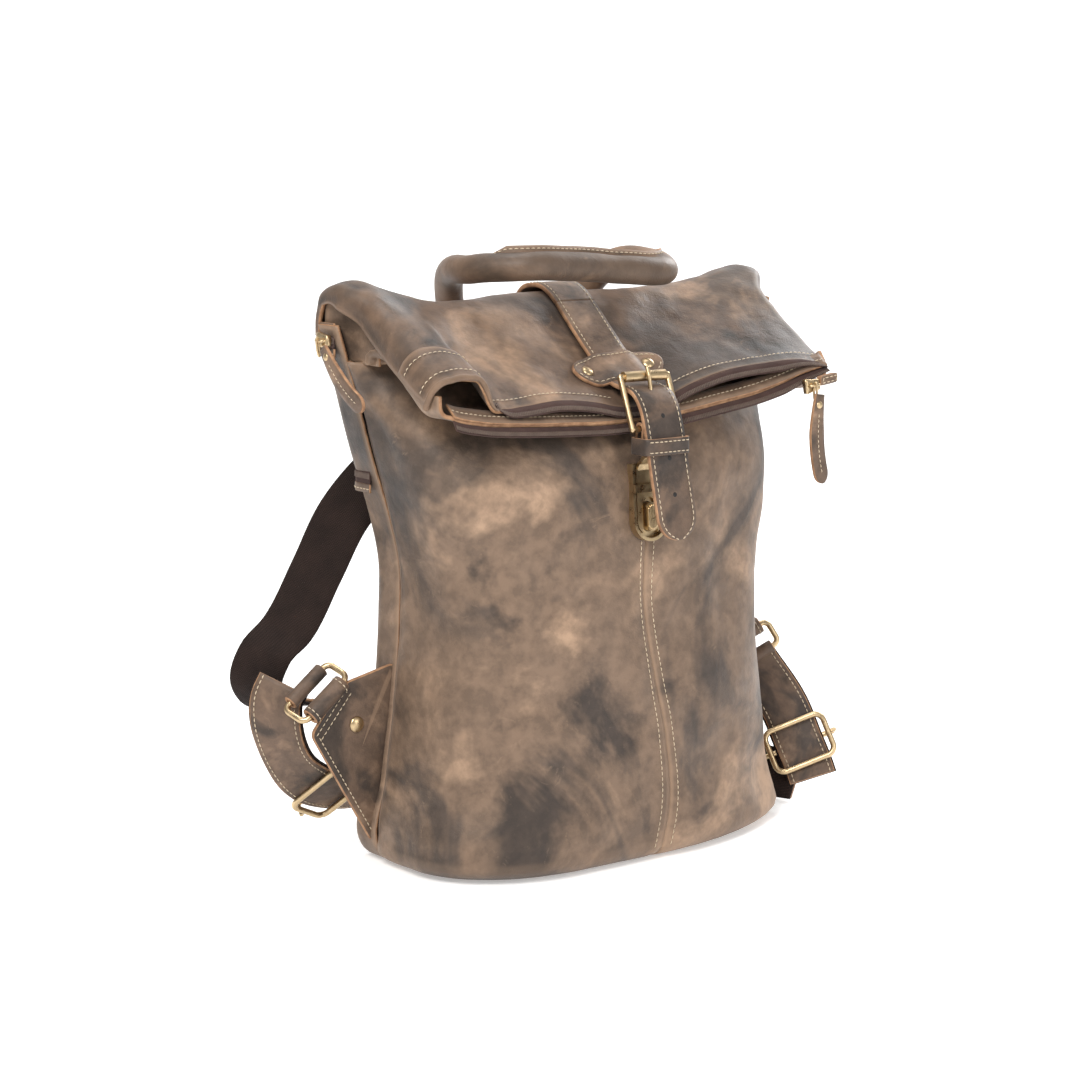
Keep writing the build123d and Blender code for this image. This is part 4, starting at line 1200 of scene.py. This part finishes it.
def make_handle():
    line = spline(HANDLE_PATH, 150)
    rise = np.clip((line[:, 2] - 349) / 40, 0, 1)
    radius = 6.4 + 3.6 * rise * rise * (3 - 2 * rise)
    wobble = np.array([noise.noise(Vector(p / 26)) for p in line])
    line = line + np.stack([0 * wobble, 0 * wobble, 0.9 * wobble * rise], axis=1)
    piece = tube("handle_leather", line, radius + 0.35 * wobble, TOP, sides=28)
    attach(piece, "handle")
    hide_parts("carry_handle")
    bar = line[(line[:, 2] > 402) & (line[:, 1] < 26)]
    away = unit(np.array([0.0, 0.42, 0.9]))
    run = along(bar)
    out = unit(away - run * (run @ away)[:, None])
    share = np.linspace(0, 1, len(bar))
    height = 5.4 * np.clip(np.sin(pi * share) * 5, 0, 1)
    low = bar + out * 8.2
    high = bar + out * (9.4 + height)[:, None]
    flange = ribbon("handle_seam_flange", low, high, 3.4, STRAP, rim=1)
    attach(flange, "handle")
    front = np.cross(run, out)
    front = np.where((front[:, 1] > 0)[:, None], -front, front)
    rows = [stitches("row", low + (high - low) * 0.62 + front * sign * 1.9, front * sign)
            for sign in (-1, 1)]
    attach(joined("handle_stitching", rows), "handle")
    for name, side in (("left", -1), ("right", 1)):
        corners = [(side * 50 - 14, 76.6, 306), (side * 50 + 14, 76.6, 306), (side * 50 + 14, 76.6, 351),
                   (side * 50 - 14, 76.6, 351)]
        patch(f"handle_anchor_{name}", rounded(corners, 6), (0, 1, 0), 2.8, f"handle_anchor_{name}", "bag")
    corners = [(-47, 82.0, 300), (47, 82.0, 300), (47, 82.0, 326), (-47, 82.0, 326)]
    patch("strap_anchor", rounded(corners, 6), (0, 1, 0), 2.8, "strap_anchor_patch", "bag")


SIDES = {  # the tab's outline, the ring's inner bar, the way along it, the way to its outer bar, the rivet
    "left": ([(-139, 50.0, 141), (-150.3, 51.5, 60), (-157.7, 51.5, 14), (-207, 51.5, 98),
              (-180, 51.5, 131)],
             (-194.0, 51.5, 121.0), (0.78, 0, 0.62), (-0.2, 0.85, 0.45), (-171.0, 49.2, 101.0)),
    "right": ([(142, 61.0, 121), (150.3, 63, 60), (157.7, 63, 14), (182, 63, 112), (174, 63, 121)],
              (181.5, 54.0, 122.3), (0.77, -0.4, 0.5), (0.25, -0.43, -0.87), (167.0, 60.8, 92.0)),
}


def roll(name, middle, axis, radius, thickness, width, start):
    """Leather wrapped once round a bar. Gives the piece, its side and outward directions, and its line."""
    axis, start = unit(axis), np.asarray(start, float)
    side = unit(start - axis * (axis @ start))
    out = circle(side, np.cross(axis, side), 40)
    line = np.asarray(middle) + out * radius
    return *sweep_strap(name, line, out, width, thickness, [STRAP, EDGE], closed=True, crown=0.0), line


def tab_row(start, end, middle, depth, count, skip_first, skip_last):
    """Stitching on a side tab's face, at a depth in from the edge between two of its corners."""
    inward = unit(np.cross(unit(end - start), (0, 1, 0)))
    if (middle - start) @ inward < 0:
        inward = -inward
    path = np.linspace(start + inward * depth, end + inward * depth, count)[skip_first:-skip_last]
    path[:, 1] -= TAB_FACE
    return stitches("row", path, np.tile((0, -1.0, 0), (len(path), 1)))


TAB_FACE = 1.9  # how far in front of the tab's middle plane its stitches lie


def make_sides():
    """The side tabs, the rolls that hold the rings, their stitching and rivets."""
    for name, (tab, bar, axis, _, rivet) in SIDES.items():
        outline = rounded(tab, 5)
        piece = flat_piece(f"{name}_tab", outline, (0, -1, 0), 3.0, [STRAP, EDGE])
        wrap, side, normal, line = roll(f"{name}_tab_roll", bar, axis, 4.9, 3.0, 34.0, (0.1, 0, -1))
        rows = edge_rows("row", line, side, normal, 34.0, 3.0, inset=3.2)
        whole = joined(f"{name}_side_tab_leather", [piece, wrap])
        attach(whole, "bag")
        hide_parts(f"{name}_side_tab")
        top, outer, low = (np.array(tab[corner], float) for corner in (-1, 3, 2))
        middle = outline.mean(axis=0)
        rows += [tab_row(top, outer, middle, depth, 40, 2, 1) for depth in (3.6, 8.4)]
        rows.append(tab_row(outer, low, middle, 3.8, 60, 3, 3))
        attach(joined(f"{name}_tab_stitching", rows), "bag")
        head = button(f"{name}_tab_rivet_head", rivet, (0, -1, 0), 5.5, 2.6, BRASS)
        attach(head, "bag")
        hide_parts(f"{name}_tab_rivet")


def outer_bar(name):
    """The middle of a ring's outer bar, the way along it and the way out to it."""
    _, bar, axis, across, _ = SIDES[name]
    axis = unit(axis)
    across = unit(np.asarray(across) - axis * (axis @ np.asarray(across)))
    return np.asarray(bar) + across * 19.0, axis, across


LEFT_LOWER = [((-209.5, 82.0, 129), (0.68, -0.6, 0.3)), ((-214.5, 84, 117), (0.64, -0.62, 0.15)),
              ((-215, 84, 107), (0.6, -0.65, 0.1)),
              ((-206, 86.5, 78), (0.5, -0.75, 0.2)), ((-187, 91, 56), (0.38, -0.6, 0.6)),
              ((-152, 98, 40), (0.38, -0.6, 0.6)),
              ((-116, 105, 36), (0.38, -0.6, 0.6)), ((-99, 109, 38), (0.4, -0.6, 0.58))]
LEFT_UPPER = [((-97, 110.5, 40), (0.4, -0.6, 0.57)), ((-92, 114, 48), (0.42, -0.6, 0.55)),
              ((-100, 122, 78), (0.55, -0.8, 0.25)),
              ((-138, 126, 98), (0.2, -0.95, 0.2)), ((-178, 124, 104), (0.1, -0.97, 0.2)),
              ((-203, 120, 112), (0.3, -0.9, 0.3)),
              ((-211, 115, 127), (0.6, -0.75, 0.1)), ((-206, 112, 143), (0.7, -0.7, 0.0)),
              ((-187, 112, 160), (0.68, -0.7, -0.2)),
              ((-163, 111, 199), (0.6, -0.7, -0.3)), ((-143, 108, 236), (0.62, -0.6, -0.45)),
              ((-110, 104, 270), (0.62, -0.35, -0.7)),
              ((-70, 97, 298), (0.56, -0.1, -0.82)), ((-38, 88, 315), (0.52, 0.0, -0.85)),
              ((-26, 84, 319), (0.52, 0.0, -0.85))]
RIGHT_LOWER = [((187.0, 44.5, 103), (0.77, -0.4, 0.5)), ((200.6, 24, 69), (0.774, -0.525, 0.355)),
               ((204, 11, 44), (0.774, -0.525, 0.355)), ((206, 0.9, 25.5), (0.774, -0.525, 0.355)),
               ((205.6, -3.6, 18.5), (0.774, -0.525, 0.355))]
RIGHT_UPPER = [((200, 8, 18.5), (0.55, -0.1, 0.83)), ((189, 37, 20), (0.25, 0.0, 0.95)),
               ((184, 54, 21.5), (0.1, 0.05, 0.99)),
               ((163, 94, 36), (0.1, 0.1, 0.98)), ((142, 114, 74), (0.5, -0.1, 0.6)),
               ((120, 120, 130), (0.8, 0.0, 0.4)),
               ((98, 116, 200), (0.9, 0.0, 0.35)), ((70, 106, 262), (0.95, 0.0, 0.3)),
               ((38, 89, 313), (0.98, 0.0, 0.2)),
               ((26, 84, 319), (0.98, 0.0, 0.2))]
WEBBING_WIDTH, WEBBING_THICK, FACING_THICK = 38.0, 1.8, 2.2


def strap_layer(name, stations, width, thickness, shift, materials, count, turn=1):
    """One layer of a strap through stations of a middle point and the way across; shift moves it off the middle."""
    centres = np.array([c for c, _ in stations], float)
    sides = np.array([s for _, s in stations], float)
    line = spline(centres, count)
    lengths = distances(centres)
    side = unit(smooth_curve(sides, lengths, np.linspace(0, lengths[-1], count)))
    direction = along(line)
    side = unit(side - direction * np.sum(side * direction, axis=1)[:, None])
    normal = np.cross(side, direction) * turn
    return sweep_strap(name, line + np.cross(side, direction) * shift, normal, width, thickness,
                       materials), line


def make_shoulder_straps():
    for name, lower, upper in (("left", LEFT_LOWER, LEFT_UPPER), ("right", RIGHT_LOWER, RIGHT_UPPER)):
        body = f"{name}_strap"
        middle, axis, across = outer_bar(name)
        wrap = roll("roll", middle, axis, 3.9, 2.6, 33.0, -across)[0]
        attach(wrap, body)
        wrap.name = f"{name}_strap_roll"
        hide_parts(f"{name}_ring_strap_end")
        for part, stations, count in (("lower_strap", lower, 60), ("shoulder_strap", upper, 130)):
            (cloth, _, _), line = strap_layer(f"{name}_{part}_cloth", stations, WEBBING_WIDTH,
                                              WEBBING_THICK, 1.1, [WEBBING], count)
            (face, side, normal), _ = strap_layer(f"{name}_{part}_leather", stations, WEBBING_WIDTH - 2.5,
                                                  FACING_THICK, -1.1, [STRAP, EDGE], count, -1)
            rows = joined(f"{name}_{part}_stitching",
                          edge_rows("row", line, side, normal, WEBBING_WIDTH - 2.5, FACING_THICK, lift=1.1))
            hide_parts(f"{name}_{part}_webbing")
            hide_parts(f"{name}_{part}_facing")
            for piece in (cloth, face, rows):
                if part == "lower_strap":
                    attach(piece, body)
                else:
                    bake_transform(piece)


# ---------------------------------------------------------------- zips of the back pockets, sliders and pulls
def back_line(z, inset=0.0):
    """Round the sides and the back at one height."""
    half = read(SIDE_HALF, z)[0] + 0.8 + inset
    corner = 10.0
    line = [(-half, 51.0), (-half, 58.0), (-half, BACK_Y - corner)]
    line += [(-half + corner - corner * cos(a), BACK_Y + inset - corner + corner * sin(a))
             for a in np.linspace(0.2, pi / 2, 6)]
    line += [(x, BACK_Y + inset) for x in np.linspace(-half + corner + 8, half - corner - 8, 30)]
    line += [(half - corner + corner * sin(a), BACK_Y + inset - corner + corner * cos(a))
             for a in np.linspace(0, pi / 2 - 0.2, 6)]
    line += [(half, BACK_Y - corner), (half, 58.0), (half, 51.0)]
    line = np.array([(x, y, z) for x, y in line], float)
    return spline(line, 260)


def make_back_zips():
    for name, z in (("upper", 366.0), ("lower", 272.0)):
        line = back_line(z, 0.6)
        direction = along(line)
        out = np.stack([direction[:, 1] * -1, direction[:, 0], 0 * line[:, 0]], axis=1)
        up = np.tile((0, 0, 1.0), (len(line), 1))
        tape, _, _ = sweep_strap(f"{name}_back_zip_tape", line, out, 11.5, 1.0, [TAPE], crown=0.0)
        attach(tape, "bag")
        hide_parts(f"{name}_back_zip")
        coil = teeth(f"{name}_back_zip_coil", line + out * 0.7, up, out, length=4.2)
        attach(coil, "bag")
        welts, rows = [], []
        for sign in (-1, 1):
            path = line + np.array([0, 0, sign * 8.6])
            welts.append(sweep_strap("welt", path, out, 6.0, 1.4, [BODY, EDGE], crown=0.4)[0])
            rows.append(stitches("row", path + out * 1.0 + np.array([0, 0, sign * 0.4]), out))
        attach(joined(f"{name}_back_zip_welts", welts), "bag")
        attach(joined(f"{name}_back_zip_stitching", rows), "bag")


def make_pull(name, body, node, top, direction, facing, length, bend):
    """A curved leather pull with a small rivet, hanging from a slider's ring."""
    top, direction, facing = np.array(top, float), unit(direction), unit(facing)
    side = np.cross(direction, facing)
    share = np.linspace(0, 1, 44)
    line = top + direction * (length * share)[:,
                                              None] + side * (bend * np.sin(pi * share * 0.9)
                                                              - bend * 0.6 * share)[:, None]
    width = 12.4 * np.clip(0.62 + share * 0.9, 0,
                           1) * np.sqrt(np.clip(1 - np.clip((share - 0.87) / 0.13, 0, 1) ** 2, 0.05, 1))
    piece, _, normal = sweep_strap(f"{name}_leather", line, np.tile(facing, (44, 1)), width, 2.5,
                                   [STRAP, EDGE], crown=0.2)
    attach(piece, body)
    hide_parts(node)
    row = stitches(f"{name}_stitching", (line + normal * 1.5)[9:-5], normal[9:-5], pitch=3.4, length=2.5)
    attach(row, body)
    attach(button(f"{name}_rivet", line[5] + normal[5] * 1.2, normal[5], 2.6, 1.3, BRASS), body)


def make_slider(name, body, node, middle, forward, facing):
    """A zip slider: a waisted brass body, the bridge over it and the ring that holds the pull."""
    middle, forward, facing = np.array(middle, float), unit(forward), unit(facing)
    side = np.cross(forward, facing)
    rings = []
    for share in np.linspace(-1, 1, 9):
        half = 4.4 - 0.9 * share + 0.5 * share * share
        angles = np.linspace(0, 2 * pi, 20, endpoint=False)
        flat = np.clip(np.stack([np.cos(angles) * 1.25, np.sin(angles) * 1.25], axis=1), -1, 1)
        shrink = 1.0 if abs(share) < 0.99 else 0.85
        rings.append(middle + forward * share * 6.6
                     + shrink * (flat[:, :1] * side * half + flat[:, 1:] * facing * 2.1))
    body_mesh = grid("body", np.array(rings), [BRASS], closed=True)
    cap_ends(body_mesh)
    bridge = [middle + forward * a + facing * b for a,
              b in ((4.6, 1.6), (4.0, 4.0), (0.5, 4.8), (-3.4, 4.0), (-4.2, 1.8))]
    bridge = tube("bridge", spline(bridge, 24), 1.0, BRASS, sides=10)
    hang = middle + facing * 4.4 + np.array([0, 0, -4.2])
    ring = hang + 4.6 * circle(side, unit(np.array([0, 0, 1.0]) + facing * 0.3), 36)
    ring = tube("ring", ring, 0.8, BRASS, sides=10, closed=True)
    whole = joined(f"{name}_brass", [body_mesh, bridge, ring])
    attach(whole, body)
    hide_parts(node)


def make_sliders():
    make_slider("mouth_slider", "mouth_slider", "mouth_zip_slider", (143, -62.7, 326.4), (1, 0, 0.1),
                (0, -1, 0.1))
    make_pull("mouth_pull", "mouth_pull", "mouth_zip_pull", (143, -71.4, 321.0), (0.05, 0, -1), (0, -1, 0),
              64, 5.0)
    make_slider("upper_back_slider", "upper_slider", "upper_back_zip_slider", (-190.0, 57, 366), (0, -1, 0),
                (-1, 0, 0))
    make_pull("upper_back_pull", "upper_pull", "upper_back_zip_pull", (-198.4, 44, 362), (0, -0.785, -0.62),
              (-1, 0, 0), 60, 5.0)
    make_slider("lower_back_slider", "lower_slider", "lower_back_zip_slider", (118, 79.6, 272), (1, 0, 0),
                (0, 1, 0))
    make_pull("lower_back_pull", "lower_pull", "lower_back_zip_pull", (118, 86.9, 262), (0, 0, -1),
              (0, 1, 0), 60, 4.0)


LOCK_BASE, LOCK_TOP = (-55.4, 227.0), (-51.2, 281.0)  # (y, z) at the lock's foot and head


def make_lock_button():
    """The upright ribs on the face of the lock's push button."""
    up = unit((0, LOCK_TOP[0] - LOCK_BASE[0], LOCK_TOP[1] - LOCK_BASE[1]))
    low, high = (np.array(corner) * 1000 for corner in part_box("push_button"))
    middle = (low + high) / 2
    middle[1] = low[1] + 0.5
    ribs = []
    for x in np.linspace(-3.3, 3.3, 6):
        half = 8.8 * np.sqrt(1 - (x / 5.2) ** 2)
        ribs.append(tube("rib", middle + np.array([x, 0, 0]) + up * np.linspace(-half, half, 12)[:, None],
                         0.6, BRASS, sides=8))
    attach(joined("lock_button_ribs", ribs), "button")


def make_hidden_cloth_and_end_tab():
    """The pocket bags behind the back panel, and the leather tab that closes the mouth's tapes."""
    for name in ("upper_back_pocket", "lower_back_pocket"):
        low, high = (np.array(corner) * 1000 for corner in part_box(name))
        y = (low[1] + high[1]) / 2
        corners = [(low[0], y, low[2]), (high[0], y, low[2]), (high[0], y, high[2]), (low[0], y, high[2])]
        piece = flat_piece(f"{name}_cloth", rounded(corners, 14), (0, 1, 0), high[1] - low[1],
                           [CLOTH, CLOTH])
        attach(piece, "bag")
        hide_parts(name)
    corners = [(150, -62.0, 325.5), (167, -61.0, 327.5), (167, -61.0, 334.5), (150, -62.0, 332.5)]
    patch("mouth_zip_end_tab", rounded(corners, 2.4), (0, -1, 0.1), 5.6, "mouth_zip_end_tab", "flap",
          inset=1.8)


LINING_GAP = 6.5  # how far inside the leather's outer face the lining hangs


def make_lining(points, normal, back, out):
    """The cloth lining, hung just inside the leather."""
    front = grid("lining_front", (points - normal * LINING_GAP)[3:, 3:-3], [CLOTH])
    rear = grid("lining_back", (back - out * LINING_GAP)[3:, 3:-3], [CLOTH])
    piece = joined("lining_of_cloth", [front, rear])
    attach(piece, "bag")
    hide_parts("lining")


# ---------------------------------------------------------------- the whole object
make_camera()
make_studio()
front, front_out, back, back_out = make_pouch()
bag_bottom(front, back)
make_folded_top()
make_mouth()
make_closing_strap()
make_wing_patch()
make_buckle_leather()
make_handle()
make_sides()
make_shoulder_straps()
make_back_zips()
make_sliders()
make_lock_button()
make_hidden_cloth_and_end_tab()
make_lining(front, front_out, back, back_out)

SLOT_LOOKS = {"brass": BRASS, "webbing": WEBBING, "zip_tape": TAPE, "lining_cloth": CLOTH,
              "strap_leather": STRAP, "body_leather": TOP}
for name, piece in NODES.items():
    slot = next((s["material_slot"] for s in frame["record"]["subparts"] if s["node"] == name), "")
    piece.data.materials.clear()
    piece.data.materials.append(SLOT_LOOKS.get(slot, DARK_BRASS))
